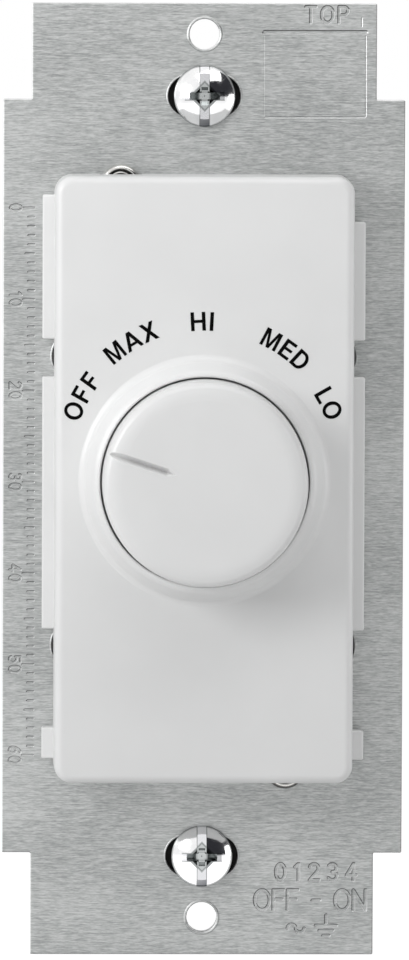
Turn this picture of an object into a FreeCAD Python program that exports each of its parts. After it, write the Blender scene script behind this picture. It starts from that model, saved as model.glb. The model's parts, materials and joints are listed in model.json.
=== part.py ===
import FreeCAD, Part
import math
import os

# Rotary fan speed control for a decorator style wall opening.
# Frame, in millimetres: X to the right and Z up as seen from the front, Y towards the wall box.
# The origin lies midway between the two box screws, where the back of their retainers meets the ears of the wall box.

# Mounting strap, one stamped plate
box_screw_spacing = 83.34
plate_hole_offset = 6.75
strap_thickness = 1.6
strap_width = 43.9
strap_shoulder_drop = 0.37
strap_end_step = 3.125
strap_top_edge = 3.4
strap_bottom_edge = 4.1
strap_corner_radius = 0.15
screw_slot_length = 7.9
screw_slot_width = 4.45
plate_hole_radius = 1.65
plate_hole_lip = 0.3
plate_hole_lip_height = 0.1

# Box screws and the retainers behind the strap that hold them
screw_head_radius = 3.36
screw_head_height = 2.0
screw_head_rim = 0.55
screw_neck_radius = 1.45
screw_thread_radius = 1.75
screw_reach = 15.5
screw_tip_chamfer = 0.6
screw_slot_cut = 1.04
screw_slot_depth = 0.75
screw_cross_span = 4.35
screw_cross_width = 0.9
screw_cross_depth = 1.5
retainer_width = 12.0
retainer_height = 8.6
retainer_thickness = 1.2
retainer_clearance = 0.1

# Cover, a moulded shell that stands between the heads of the box screws
cover_width = 32.7
cover_screw_distance = 8.52
cover_depth = 7.0
cover_wall = 1.8
cover_draft = 1.0
cover_corner_radius = 2.0
cover_edge_radius = 0.9
cover_hole_radius = 5.6
flange_reach = 1.28
flange_thickness = 1.8
flange_edge_radius = 0.2
flange_top_drops = [(-1, 17.98, 2.25), (1, 18.1, 5.15)]
flange_middle_spans = [(-1, -16.55, 11.05), (1, -16.7, 11.05)]
flange_bottom_rises = [(-1, 2.35, 5.75), (1, 2.25, 5.45)]

# Collar round the knob, moulded on the cover
collar_knob_gap = 0.16
collar_crest_width = 0.54
collar_slope_width = 1.55
collar_height = 2.5
collar_crest_round = 0.4
collar_foot_round = 0.9

# Snap legs under the cover and the round windows for them in the strap
leg_top_drop = 19.95
leg_bottom_rise = 14.65
leg_width = 3.2
leg_thickness = 1.5
leg_wall_step = 0.6
leg_hook_reach = 1.4
leg_hook_length = 1.9
leg_hook_gap = 0.1
window_radius = 2.8
window_margin = 0.18
window_sheet_clearance = 1.05

# Rolled eyelets that hold the housing to the strap
eyelet_x = 9.1
eyelet_ear_margin = 3.2
eyelet_bore_radius = 0.95
eyelet_tube_wall = 0.5
eyelet_roll_radius = 2.2
eyelet_roll_height = 0.9
eyelet_head_thickness = 0.6
eyelet_fit = 0.08
eyelet_relief = 0.35

# Knob, a moulded shell with a hub
knob_radius = 11.22
knob_rise = 8.2
knob_foot_gap = 0.5
knob_draft = 1.5
knob_edge_radius = 0.9
knob_crown_radius = 4.0
knob_crown_angle = 20.0
knob_wall = 1.5
knob_face_thickness = 1.9
knob_hub_radius = 4.7
knob_rib_count = 6
knob_rib_thickness = 1.0
knob_rib_setback = 1.6
pointer_start = 3.4
pointer_width = 0.9
pointer_depth = 0.7
pointer_taper_length = 1.0
pointer_rest_angle = 162.0

# Shaft and the spring clip between its flat and the knob's hub
shaft_radius = 3.0
shaft_flat_depth = 1.5
shaft_end_gap = 0.3
shaft_flat_length = 6.4
shaft_pilot_step = 1.1
shaft_pilot_length = 1.9
shaft_fit = 0.05
clip_thickness = 0.45
clip_width = 3.6
clip_length = 4.4
clip_play = 0.04
clip_tip_distance = 0.5
ring_groove_depth = 0.55
ring_outer_radius = 4.5
ring_thickness = 0.5
ring_opening = 4.4
ring_play = 0.1

# Bushing, washer and nut that hold the switch to the strap
bushing_radius = 4.7
bushing_reach = 4.2
bushing_flange_radius = 7.4
bushing_flange_thickness = 1.1
bushing_stake_radius = 4.1
bushing_strap_clearance = 0.2
washer_outer_radius = 7.3
washer_thickness = 0.5
washer_tooth_count = 12
washer_tooth_depth = 1.0
nut_across_flats = 12.7
nut_thickness = 2.4
thread_clearance = 0.05

# Insulating sheet between strap and housing
sheet_thickness = 0.5
sheet_margin = 0.5

# Switch case in two halves, and what turns inside it
case_leg_gap = 0.75
case_corner_radius = 1.5
case_front_wall = 2.2
case_depth = 8.2
case_side_wall = 2.3
case_back_thickness = 2.0
rotor_side_gap = 1.6
rotor_thickness = 2.6
rotor_face_gap = 0.7
rotor_lug_gap = 0.4
rotor_lug_angle = 18.0
rotor_rest_lug_angle = -22.5
detent_turns = [0.0, 45.0, 75.0, 105.0, 135.0]
detent_notch_radius = 1.25
detent_notch_depth = 0.6
detent_strip = 0.35
detent_nose_gap = 0.2
detent_pocket_side_wall = 5.0
detent_pocket_top_wall = 1.5
stop_rib_angle = 6.0
stop_rib_reach = 1.2
stop_gap_angle = 0.4
wiper_thickness = 0.4
wiper_arm_width = 2.8
wiper_hub_radius = 5.0
wiper_tip_radius = 0.9
wiper_contact_gap = 0.25
wiper_rest_angle = 200.0
contact_side_gap = 1.2
contact_radius = 1.4
contact_thickness = 0.4
contact_pin_radius = 0.6
contact_pin_overhang = 1.0
contact_fit = 0.05
common_gap = 0.6
common_width = 1.4
case_rivet_inset = 2.2
case_rivet_radius = 1.0
case_rivet_head_radius = 1.6
case_rivet_head = 0.6
case_rivet_play = 0.1

# Circuit board and its parts
board_gap = 0.2
board_thickness = 1.6
board_edge_gap = 0.6
board_corner_radius = 1.0
board_hole_clearance = 0.15
large_capacitor_height = 13.0
large_capacitor_depth = 14.0
small_capacitor_height = 11.5
small_capacitor_depth = 11.0
capacitor_spacing = 1.6
capacitor_boss_gap = 0.7
capacitor_back_gap = 1.6
capacitor_corner_radius = 0.8
resistor_count = 2
resistor_radius = 1.25
resistor_length = 6.6
resistor_pitch = 12.0
resistor_case_gap = 1.8
resistor_lead_radius = 0.35
resistor_lead_reach = 1.4
board_screw_radius = 1.35
board_screw_head_radius = 2.5
board_screw_head = 1.5
board_screw_length = 8.0
board_screw_fit = 0.05

# Housing, a deep moulded box between the screw retainers, with an ear at each end
housing_hook_gap = 1.95
housing_retainer_gap = 2.17
housing_wall = 1.9
housing_back_wall = 2.2
housing_draft = 0.8
housing_corner_radius = 3.0
housing_edge_radius = 1.2
ear_reach = 6.6
ear_thickness = 5.0
ear_corner_radius = 2.0
ear_rib_thickness = 1.6
ear_rib_depth = 7.0
boss_radius = 2.8
boss_inset = 4.6

# Bushings where the supply leads leave the housing
lead_boss_gap = 0.3
lead_inset = 6.4
lead_bore_radius = 1.9
lead_neck_radius = 3.1
lead_flange_radius = 4.2
lead_flange_thickness = 1.2
lead_lip = 0.3
lead_fit = 0.08

# Planes along Y that the pieces share
strap_back = -retainer_thickness
strap_front = strap_back - strap_thickness
cover_face = strap_front - cover_depth
collar_top = cover_face - collar_height
knob_foot = cover_face - knob_foot_gap
knob_face = cover_face - knob_rise
sheet_back = strap_back + sheet_thickness
case_front = sheet_back
cavity_front = case_front + case_front_wall
case_split = case_front + case_depth
case_back = case_split + case_back_thickness
rotor_front = cavity_front + rotor_face_gap
rotor_back = rotor_front + rotor_thickness
board_front = case_back + board_screw_head + board_gap
board_back = board_front + board_thickness
housing_floor = board_back + large_capacitor_depth + capacitor_back_gap
housing_back = housing_floor + housing_back_wall
bushing_end = strap_front - bushing_reach
shaft_tip = knob_face + knob_face_thickness + shaft_end_gap

# Radii that follow from others
collar_inner_radius = knob_radius + collar_knob_gap
collar_crest_radius = collar_inner_radius + collar_crest_width
collar_base_radius = collar_crest_radius + collar_slope_width
shaft_flat = shaft_radius - shaft_flat_depth
shaft_pilot_radius = shaft_radius - shaft_pilot_step
ring_groove_radius = shaft_radius - ring_groove_depth
eyelet_shank_radius = eyelet_bore_radius + eyelet_tube_wall

# Sizes and places in the XZ plane that the pieces share
screw_z = box_screw_spacing / 2
plate_hole_z = screw_z + plate_hole_offset
screw_places = [(0.0, screw_z), (0.0, -screw_z)]
plate_hole_places = [(0.0, plate_hole_z), (0.0, -plate_hole_z)]
strap_top = plate_hole_z + strap_top_edge
strap_bottom = -plate_hole_z - strap_bottom_edge
strap_end_width = strap_width - 2 * strap_end_step
strap_shoulder = screw_z - strap_shoulder_drop
cover_top = screw_z - cover_screw_distance
cover_height = 2 * cover_top
flange_spans = [(side, cover_top - low, cover_top - high) for side, low, high in flange_top_drops]
flange_spans += flange_middle_spans
flange_spans += [(side, low - cover_top, high - cover_top) for side, low, high in flange_bottom_rises]
leg_heights = [cover_top - leg_top_drop, leg_bottom_rise - cover_top]
leg_outer_x = cover_width / 2 - leg_wall_step
leg_inner_x = leg_outer_x - leg_thickness
hook_x = leg_outer_x + leg_hook_reach
window_x = cover_width / 2 + window_margin - window_radius
window_places = [(side * window_x, z) for side in (-1, 1) for z in leg_heights]
housing_width = 2 * (hook_x + housing_hook_gap + housing_wall)
ear_end = screw_z - retainer_height / 2 - housing_retainer_gap
housing_height = 2 * (ear_end - ear_reach)
eyelet_z = ear_end - eyelet_ear_margin
eyelet_places = [(-eyelet_x, eyelet_z), (eyelet_x, -eyelet_z)]
case_size = 2 * (leg_inner_x - case_leg_gap)
case_cavity_radius = case_size / 2 - case_side_wall
rotor_radius = case_cavity_radius - rotor_side_gap
rotor_lug_radius = case_cavity_radius - rotor_lug_gap
detent_pocket_width = case_size - 2 * detent_pocket_side_wall
detent_pocket_height = case_size / 2 - detent_pocket_top_wall
contact_circle_radius = case_cavity_radius - contact_side_gap - contact_radius
common_outer_radius = contact_circle_radius - contact_radius - common_gap
common_inner_radius = common_outer_radius - common_width
rivet_inset = case_size / 2 - case_rivet_inset
rivet_places = [(sx * rivet_inset, sz * rivet_inset) for sx in (-1, 1) for sz in (-1, 1)]
boss_x = housing_width / 2 - housing_wall - boss_inset
boss_z = housing_height / 2 - housing_wall - boss_inset
boss_places = [(sx * boss_x, sz * boss_z) for sx in (-1, 1) for sz in (-1, 1)]
board_screw_places = [(-boss_x, boss_z), (boss_x, -boss_z)]
lead_x = boss_x - boss_radius - lead_boss_gap - lead_lip - lead_neck_radius
lead_z = housing_height / 2 - lead_inset
lead_places = [(-lead_x, lead_z), (lead_x, lead_z)]
capacitor_length = 2 * (boss_x - boss_radius - capacitor_boss_gap)
capacitor_stack = large_capacitor_height + capacitor_spacing + small_capacitor_height
large_capacitor_z = (capacitor_stack - large_capacitor_height) / 2
small_capacitor_z = (small_capacitor_height - capacitor_stack) / 2
resistor_z = -case_size / 2 - resistor_case_gap - resistor_radius


def vec(x, y, z):
    return FreeCAD.Vector(x, y, z)


def on_circle(radius, degrees):
    """The point (x, z) at this angle, counted from the right and upwards as seen from the front."""
    a = math.radians(degrees)
    return radius * math.cos(a), radius * math.sin(a)


def disc(x, z, radius, y_front, y_back):
    """A round bar along Y."""
    return Part.makeCylinder(radius, y_back - y_front, vec(x, y_front, z), vec(0, 1, 0))


def block(x0, x1, y0, y1, z0, z1):
    return Part.makeBox(x1 - x0, y1 - y0, z1 - z0, vec(x0, y0, z0))


def rounded_wire(width, height, radius, y, x=0.0, z=0.0):
    """A rectangle with round corners in the plane at this Y."""
    w = width / 2
    h = height / 2
    r = min(radius, w * 0.999, h * 0.999)
    k = r * (1 - math.sqrt(0.5))
    edges = []
    corners = [(1, 1), (-1, 1), (-1, -1), (1, -1)]
    ends = []
    for sx, sz in corners:
        side = vec(x + sx * w, y, z + sz * (h - r))
        flat = vec(x + sx * (w - r), y, z + sz * h)
        middle = vec(x + sx * (w - k), y, z + sz * (h - k))
        first, last = (side, flat) if sx * sz > 0 else (flat, side)
        edges.append(Part.Arc(first, middle, last).toShape())
        ends.append((first, last))
    wires = []
    for i in range(4):
        wires.append(edges[i])
        wires.append(Part.makeLine(ends[i][1], ends[(i + 1) % 4][0]))
    return Part.Wire(wires)


def rounded_block(width, height, radius, y_front, y_back, x=0.0, z=0.0):
    face = Part.Face(rounded_wire(width, height, radius, y_front, x, z))
    return face.extrude(vec(0, y_back - y_front, 0))


def tapered_block(width, height, radius, y_wide, y_narrow, draft):
    """A drafted block: full size at y_wide, smaller on every side at y_narrow."""
    less = abs(y_narrow - y_wide) * math.tan(math.radians(draft))
    wide = rounded_wire(width, height, radius, y_wide)
    narrow = rounded_wire(width - 2 * less, height - 2 * less, max(radius - less, 0.05), y_narrow)
    return Part.makeLoft([wide, narrow], True, True)


def obround(length, width, y_front, y_back, x=0.0, z=0.0):
    """A slot that runs along X, with round ends."""
    bar = block(x - (length - width) / 2, x + (length - width) / 2, y_front, y_back, z - width / 2, z + width / 2)
    for side in (-1, 1):
        bar = bar.fuse(disc(x + side * (length - width) / 2, z, width / 2, y_front, y_back))
    return bar.removeSplitter()


def turned(profile, x=0.0, z=0.0):
    """Turns a closed profile of (radius, y) points about the Y direction through (x, z).

    An item that holds two points is an arc: through the first, to the second.
    """
    edges = []
    start = profile[0]
    here = vec(start[0], start[1], 0)
    for item in profile[1:] + [start]:
        if isinstance(item[0], tuple):
            middle = vec(item[0][0], item[0][1], 0)
            there = vec(item[1][0], item[1][1], 0)
            edges.append(Part.Arc(here, middle, there).toShape())
        else:
            there = vec(item[0], item[1], 0)
            if there.distanceToPoint(here) > 1e-7:
                edges.append(Part.makeLine(here, there))
        here = there
    solid = Part.Face(Part.Wire(edges)).revolve(vec(0, 0, 0), vec(0, 1, 0), 360)
    solid.translate(vec(x, 0, z))
    return solid


def sector(radius, start, turn, y_front, y_back):
    """A slice of a disc, from the start angle through the turn, both in degrees."""
    first = on_circle(radius, start)
    middle = on_circle(radius, start + turn / 2)
    last = on_circle(radius, start + turn)
    arc = Part.Arc(
        vec(first[0], y_front, first[1]),
        vec(middle[0], y_front, middle[1]),
        vec(last[0], y_front, last[1]),
    ).toShape()
    ways = [
        Part.makeLine(vec(0, y_front, 0), vec(first[0], y_front, first[1])),
        arc,
        Part.makeLine(vec(last[0], y_front, last[1]), vec(0, y_front, 0)),
    ]
    return Part.Face(Part.Wire(ways)).extrude(vec(0, y_back - y_front, 0))


def outline(points, y_front, y_back):
    """A plate with straight sides through these (x, z) points."""
    places = [vec(x, y_front, z) for x, z in points]
    return Part.Face(Part.makePolygon(places + [places[0]])).extrude(vec(0, y_back - y_front, 0))


def joined(shapes):
    whole = shapes[0]
    for other in shapes[1:]:
        whole = whole.fuse(other)
    return whole.removeSplitter()


def without(shape, tools):
    for tool in tools:
        shape = shape.cut(tool)
    return shape


def turned_to(shape, degrees):
    """Turns a piece that was drawn towards +X to this angle, as seen from the front."""
    copy = shape.copy()
    copy.rotate(vec(0, 0, 0), vec(0, 1, 0), -degrees)
    return copy


def rounded_where(shape, radius, wanted):
    """Rounds the edges that the test picks."""
    edges = [e for e in shape.Edges if wanted(e)]
    return shape.makeFillet(radius, edges) if edges else shape


def lies_at(edge, y):
    return abs(edge.BoundBox.YMin - y) < 1e-4 and abs(edge.BoundBox.YMax - y) < 1e-4


def runs_along_y(edge):
    box = edge.BoundBox
    return box.XLength < 1e-4 and box.ZLength < 1e-4


def make_hole_lip(x, z):
    """Low rounded lip that the punch leaves round a hole."""
    rim = plate_hole_radius + plate_hole_lip
    low = strap_front + plate_hole_lip_height
    high = strap_front - plate_hole_lip_height
    middle = (plate_hole_radius + rim) / 2
    profile = [
        (plate_hole_radius, low),
        (plate_hole_radius, strap_front),
        ((middle, high), (rim, strap_front)),
        (rim, low),
    ]
    return turned(profile, x, z)


def make_strap():
    w = strap_width / 2
    e = strap_end_width / 2
    h = strap_shoulder
    points = [
        (-e, strap_bottom), (e, strap_bottom), (e, -h), (w, -h), (w, h), (e, h),
        (e, strap_top), (-e, strap_top), (-e, h), (-w, h), (-w, -h), (-e, -h),
    ]
    strap = outline(points, strap_front, strap_back)
    strap = rounded_where(strap, strap_corner_radius, runs_along_y)
    tools = []
    for x, z in screw_places:
        tools.append(obround(screw_slot_length, screw_slot_width, strap_front - 1, strap_back + 1, x, z))
    for x, z in plate_hole_places:
        strap = strap.fuse(make_hole_lip(x, z))
        tools.append(disc(x, z, plate_hole_radius, strap_front - 1, strap_back + 1))
    for x, z in window_places:
        tools.append(disc(x, z, window_radius, strap_front - 1, strap_back + 1))
    for x, z in eyelet_places:
        tools.append(disc(x, z, eyelet_shank_radius + eyelet_fit, strap_front - 1, strap_back + 1))
    hole = bushing_radius + bushing_strap_clearance
    tools.append(disc(0, 0, hole, strap_front - 1, strap_back + 1))
    return without(strap, tools)


def make_screw(x, z):
    """Head with a domed top, a thin neck where the retainer holds it, and the threaded length."""
    top = strap_front - screw_head_height
    rim = strap_front - screw_head_rim
    bulge = screw_head_radius * 0.62
    profile = [
        (0, top),
        ((bulge, top + (rim - top) * 0.24), (screw_head_radius, rim)),
        (screw_head_radius, strap_front),
        (screw_neck_radius, strap_front),
        (screw_neck_radius, 0),
        (screw_thread_radius, 0),
        (screw_thread_radius, screw_reach - screw_tip_chamfer),
        (screw_thread_radius - screw_tip_chamfer, screw_reach),
        (0, screw_reach),
    ]
    screw = turned(profile, x, z)
    reach = screw_head_radius + 1
    slot = block(
        x - screw_slot_cut / 2, x + screw_slot_cut / 2, top - 1, top + screw_slot_depth, z - reach, z + reach
    )
    arm = screw_cross_span / 2
    foot = arm * 0.3
    low = top + screw_cross_depth
    for turn in (0, 90):
        side = [vec(-arm, top - 0.2, 0), vec(arm, top - 0.2, 0), vec(foot, low, 0), vec(-foot, low, 0)]
        blade = Part.Face(Part.makePolygon(side + [side[0]])).extrude(vec(0, 0, screw_cross_width))
        blade.translate(vec(0, 0, -screw_cross_width / 2))
        blade.rotate(vec(0, 0, 0), vec(0, 1, 0), turn)
        blade.translate(vec(x, 0, z))
        slot = slot.fuse(blade)
    return screw.cut(slot)


def make_retainer(x, z):
    plate = rounded_block(retainer_width, retainer_height, 1.0, strap_back, 0, x, z)
    return plate.cut(disc(x, z, screw_neck_radius + retainer_clearance, strap_back - 1, 1))


def make_collar():
    """Ring round the knob: an upright inner wall, a rounded crest and a sloping outer side with a soft foot."""
    r = collar_crest_round
    crest = collar_crest_radius
    base = collar_base_radius
    slope = (base - crest) / collar_height
    foot = collar_foot_round
    foot_x = base - slope * foot
    profile = [
        (collar_inner_radius, cover_face + 0.4),
        (collar_inner_radius, collar_top + 0.15),
        (collar_inner_radius + 0.15, collar_top),
        (crest - r, collar_top),
        ((crest - r * 0.22, collar_top + r * 0.25), (crest + slope * r, collar_top + r)),
        (foot_x, cover_face - foot),
        ((foot_x + foot * 0.34, cover_face - foot * 0.3), (base + foot * 0.75, cover_face)),
        (base + foot * 0.75, cover_face + 0.4),
    ]
    return turned(profile)


def make_flange(side, low, high):
    inner = cover_width / 2 - cover_wall / 2
    outer = cover_width / 2 + flange_reach
    x0, x1 = (inner, outer) if side > 0 else (-outer, -inner)
    bar = block(x0, x1, strap_front - flange_thickness, strap_front, low, high)

    def free_edge(edge):
        box = edge.BoundBox
        outside = abs(box.XMin) > cover_width / 2 and abs(box.XMax) > cover_width / 2
        top = box.YMax < strap_front - flange_thickness + 1e-4 and box.YLength < 1e-4
        return (outside and runs_along_y(edge)) or (top and (outside or box.XLength > 1e-4))

    return rounded_where(bar, flange_edge_radius, free_edge)


def make_leg(side, z):
    """Snap leg: it goes down through its window and hooks behind the strap."""
    outer = leg_outer_x
    inner = leg_inner_x
    hook_top = strap_back + leg_hook_gap
    hook_end = hook_top + leg_hook_length
    root = cover_face + cover_wall / 2
    points = [
        (inner, root), (outer, root), (outer, hook_top), (hook_x, hook_top),
        (hook_x, hook_top + 0.4), (outer - 0.2, hook_end), (inner, hook_end),
    ]
    places = [vec(side * x, y, z - leg_width / 2) for x, y in points]
    return Part.Face(Part.makePolygon(places + [places[0]])).extrude(vec(0, 0, leg_width))


def make_cover():
    shell = tapered_block(cover_width, cover_height, cover_corner_radius, strap_front, cover_face, cover_draft)
    shell = rounded_where(shell, cover_edge_radius, lambda e: lies_at(e, cover_face))
    room = tapered_block(
        cover_width - 2 * cover_wall,
        cover_height - 2 * cover_wall,
        max(cover_corner_radius - cover_wall, 0.3),
        strap_front,
        cover_face + cover_wall,
        cover_draft,
    )
    pieces = [shell.cut(room), make_collar()]
    pieces += [make_flange(*span) for span in flange_spans]
    pieces += [make_leg(side, z) for side in (-1, 1) for z in leg_heights]
    cover = joined(pieces)
    tools = [disc(0, 0, cover_hole_radius, cover_face - 1, cover_face + cover_wall + 1)]
    for x, z in eyelet_places:
        top = strap_front - eyelet_roll_height - eyelet_relief
        tools.append(disc(x, z, eyelet_roll_radius + eyelet_relief, top, strap_front + 1))
    return without(cover, tools)


def off_centre(centre, radius, degrees):
    """The point (radius, y) on an arc, at this angle from straight forward towards the rim."""
    a = math.radians(degrees)
    return centre[0] + radius * math.sin(a), centre[1] - radius * math.cos(a)


def make_knob():
    """Shell with a flat face, a shallow crown arc, a tight edge arc and drafted sides; hub and ribs inside."""
    lean = math.tan(math.radians(knob_draft))
    height = knob_foot - knob_face
    inner = knob_radius - knob_wall
    inner_top = inner - lean * (height - knob_face_thickness)
    ceiling = knob_face + knob_face_thickness
    turn = knob_crown_angle
    last = 90.0 - knob_draft
    edge_centre_y = off_centre((0, knob_face + knob_crown_radius), knob_crown_radius - knob_edge_radius, turn)[1]
    edge_end_y = off_centre((0, edge_centre_y), knob_edge_radius, last)[1]
    side_radius = knob_radius - lean * (knob_foot - edge_end_y)
    edge_centre = (side_radius - off_centre((0, 0), knob_edge_radius, last)[0], edge_centre_y)
    flat_radius = edge_centre[0] - (knob_crown_radius - knob_edge_radius) * math.sin(math.radians(turn))
    crown_centre = (flat_radius, knob_face + knob_crown_radius)
    outside = [
        (0, knob_face),
        (flat_radius, knob_face),
        (
            off_centre(crown_centre, knob_crown_radius, turn / 2),
            off_centre(crown_centre, knob_crown_radius, turn),
        ),
        (
            off_centre(edge_centre, knob_edge_radius, (turn + last) / 2),
            off_centre(edge_centre, knob_edge_radius, last),
        ),
        (knob_radius, knob_foot),
        (inner, knob_foot),
        (inner_top, ceiling),
        (0, ceiling),
    ]
    knob = turned(outside)
    parts = [knob, disc(0, 0, knob_hub_radius, ceiling - 0.5, knob_foot)]
    for i in range(knob_rib_count):
        t = knob_rib_thickness / 2
        rib = block(
            knob_hub_radius - 1, inner_top + 0.4, ceiling - 0.5, knob_foot - knob_rib_setback, -t, t
        )
        parts.append(turned_to(rib, 360.0 * i / knob_rib_count + 180.0 / knob_rib_count))
    knob = joined(parts)
    knob = knob.cut(make_knob_bore())
    knob = knob.cut(make_pointer_cut())
    return turned_to(knob, pointer_rest_angle)


def make_knob_bore():
    """Round bore with a flat side that leaves room for the spring clip."""
    radius = shaft_radius + shaft_fit
    flat = shaft_flat + clip_thickness + 2 * clip_play
    ceiling = knob_face + knob_face_thickness
    bore = disc(0, 0, radius, ceiling, knob_foot + 1)
    return bore.common(block(-radius - 1, flat, ceiling - 1, knob_foot + 2, -radius - 1, radius + 1))


def make_pointer_cut():
    """Groove across the knob's face: even from the rim inwards, then tapering to a point near the middle."""
    far = knob_radius + 1.0
    half = pointer_width / 2
    up = 0.3
    taper_end = pointer_start + pointer_taper_length
    wide = half * (1 + up / pointer_depth)
    high = knob_face - up
    low = knob_face + pointer_depth
    section = [vec(far, high, wide), vec(far, high, -wide), vec(far, low, 0), vec(far, high, wide)]
    bar = Part.Face(Part.makePolygon(section)).extrude(vec(taper_end - far, 0, 0))
    rise = up * pointer_taper_length / pointer_depth
    tip = vec(pointer_start - rise, high, 0)
    a = vec(taper_end, high, wide)
    b = vec(taper_end, high, -wide)
    c = vec(taper_end, low, 0)
    faces = []
    for corners in ([a, b, c], [tip, b, a], [tip, c, b], [tip, a, c]):
        faces.append(Part.Face(Part.makePolygon(corners + [corners[0]])))
    point = Part.Solid(Part.Shell(faces))
    if point.Volume < 0:
        point.reverse()
    return joined([bar, point])


def make_knob_clip():
    """Bowed leaf of spring steel that lies between the shaft's flat and the hub."""
    near = shaft_flat + clip_play
    length_from = shaft_tip + clip_tip_distance
    leaf = block(near, near + clip_thickness, length_from, length_from + clip_length, -clip_width / 2, clip_width / 2)
    lip = block(
        near, near + 0.2, length_from + clip_length - 0.4, length_from + clip_length, -clip_width / 4, clip_width / 4
    )
    leaf = leaf.fuse(lip).removeSplitter()
    return turned_to(leaf, pointer_rest_angle)


def make_shaft():
    ring_front = bushing_end - ring_play - ring_thickness
    ring_back = bushing_end - ring_play
    pilot_end = case_split + shaft_pilot_length
    profile = [
        (0, shaft_tip),
        (shaft_radius - 0.4, shaft_tip),
        (shaft_radius, shaft_tip + 0.4),
        (shaft_radius, ring_front - 0.05),
        (ring_groove_radius, ring_front - 0.05),
        (ring_groove_radius, ring_back + 0.05),
        (shaft_radius, ring_back + 0.05),
        (shaft_radius, rotor_back + wiper_thickness),
        (shaft_pilot_radius, rotor_back + wiper_thickness),
        (shaft_pilot_radius, pilot_end - 0.4),
        (0, pilot_end - 0.4),
    ]
    shaft = turned(profile)
    side = 2 * shaft_radius
    front_flat = block(shaft_flat, side, shaft_tip - 1, shaft_tip + shaft_flat_length, -side, side)
    rear_flat = block(shaft_flat, side, rotor_front - 0.3, rotor_back + wiper_thickness, -side, side)
    shaft = without(shaft, [front_flat, rear_flat])
    return turned_to(shaft, pointer_rest_angle)


def make_shaft_ring():
    """Open retaining ring in the shaft's groove."""
    back = bushing_end - ring_play
    front = back - ring_thickness
    inner = ring_groove_radius + 0.03
    ring = disc(0, 0, ring_outer_radius, front, back).cut(disc(0, 0, inner, front - 1, back + 1))
    gap = block(0, ring_outer_radius + 1, front - 1, back + 1, -ring_opening / 2, ring_opening / 2)
    return turned_to(ring.cut(gap), pointer_rest_angle + 180)


def make_bushing():
    flange_back = case_front + bushing_flange_thickness
    bore = shaft_radius + shaft_fit
    profile = [
        (bore, bushing_end + 0.3),
        (bore + 0.3, bushing_end),
        (bushing_radius - 0.4, bushing_end),
        (bushing_radius, bushing_end + 0.4),
        (bushing_radius, case_front),
        (bushing_flange_radius, case_front),
        (bushing_flange_radius, flange_back),
        (bushing_stake_radius, flange_back),
        (bushing_stake_radius, cavity_front),
        (bore, cavity_front),
    ]
    return turned(profile)


def make_lock_washer():
    """Ring with teeth on its inner side."""
    front = strap_front - washer_thickness
    bore = bushing_radius + bushing_strap_clearance
    ring = disc(0, 0, washer_outer_radius, front, strap_front).cut(disc(0, 0, bore, front - 1, strap_front + 1))
    step = 360.0 / washer_tooth_count
    for i in range(washer_tooth_count):
        gap = block(bore - 0.5, bore + washer_tooth_depth, front - 1, strap_front + 1, -0.45, 0.45)
        ring = ring.cut(turned_to(gap, i * step))
    return ring


def make_bushing_nut():
    back = strap_front - washer_thickness
    front = back - nut_thickness
    corner = nut_across_flats / 2 / math.cos(math.radians(30))
    points = [on_circle(corner, 60 * i + 30) for i in range(6)]
    nut = outline(points, front, back)
    crown = turned([
        (0, front),
        (nut_across_flats / 2 - 0.1, front),
        (corner + 0.1, front + 0.6),
        (corner + 0.1, back),
        (0, back),
    ])
    nut = nut.common(crown)
    return nut.cut(disc(0, 0, bushing_radius + thread_clearance, front - 1, back + 1))


def make_insulating_sheet():
    width = housing_width - 2 * sheet_margin
    height = 2 * ear_end - 2 * sheet_margin
    sheet = rounded_block(width, height, ear_corner_radius, strap_back, sheet_back)
    tools = [disc(0, 0, bushing_radius + bushing_strap_clearance, strap_back - 1, sheet_back + 1)]
    for x, z in eyelet_places:
        tools.append(disc(x, z, eyelet_shank_radius + eyelet_fit, strap_back - 1, sheet_back + 1))
    for x, z in window_places:
        tools.append(disc(x, z, window_radius + window_sheet_clearance, strap_back - 1, sheet_back + 1))
    return without(sheet, tools)


def make_eyelet(x, z):
    """Tube rolled over at the front and headed behind the housing's ear."""
    ear_back = sheet_back + ear_thickness
    bore = eyelet_bore_radius
    shank = eyelet_shank_radius
    top = strap_front - eyelet_roll_height
    roll = eyelet_roll_radius
    middle = (bore + roll) / 2
    profile = [
        (bore, top + 0.45),
        ((bore + 0.17, top + 0.16), (middle - 0.15, top + 0.12)),
        (middle - 0.08, top + 0.3),
        (middle - 0.02, top + 0.12),
        ((middle + 0.3, top), (roll - 0.08, top + 0.34)),
        ((roll, top + 0.6), (roll - 0.14, strap_front)),
        (shank, strap_front),
        (shank, ear_back),
        (roll, ear_back),
        (roll, ear_back + eyelet_head_thickness),
        (bore, ear_back + eyelet_head_thickness),
    ]
    return turned(profile, x, z)


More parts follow.
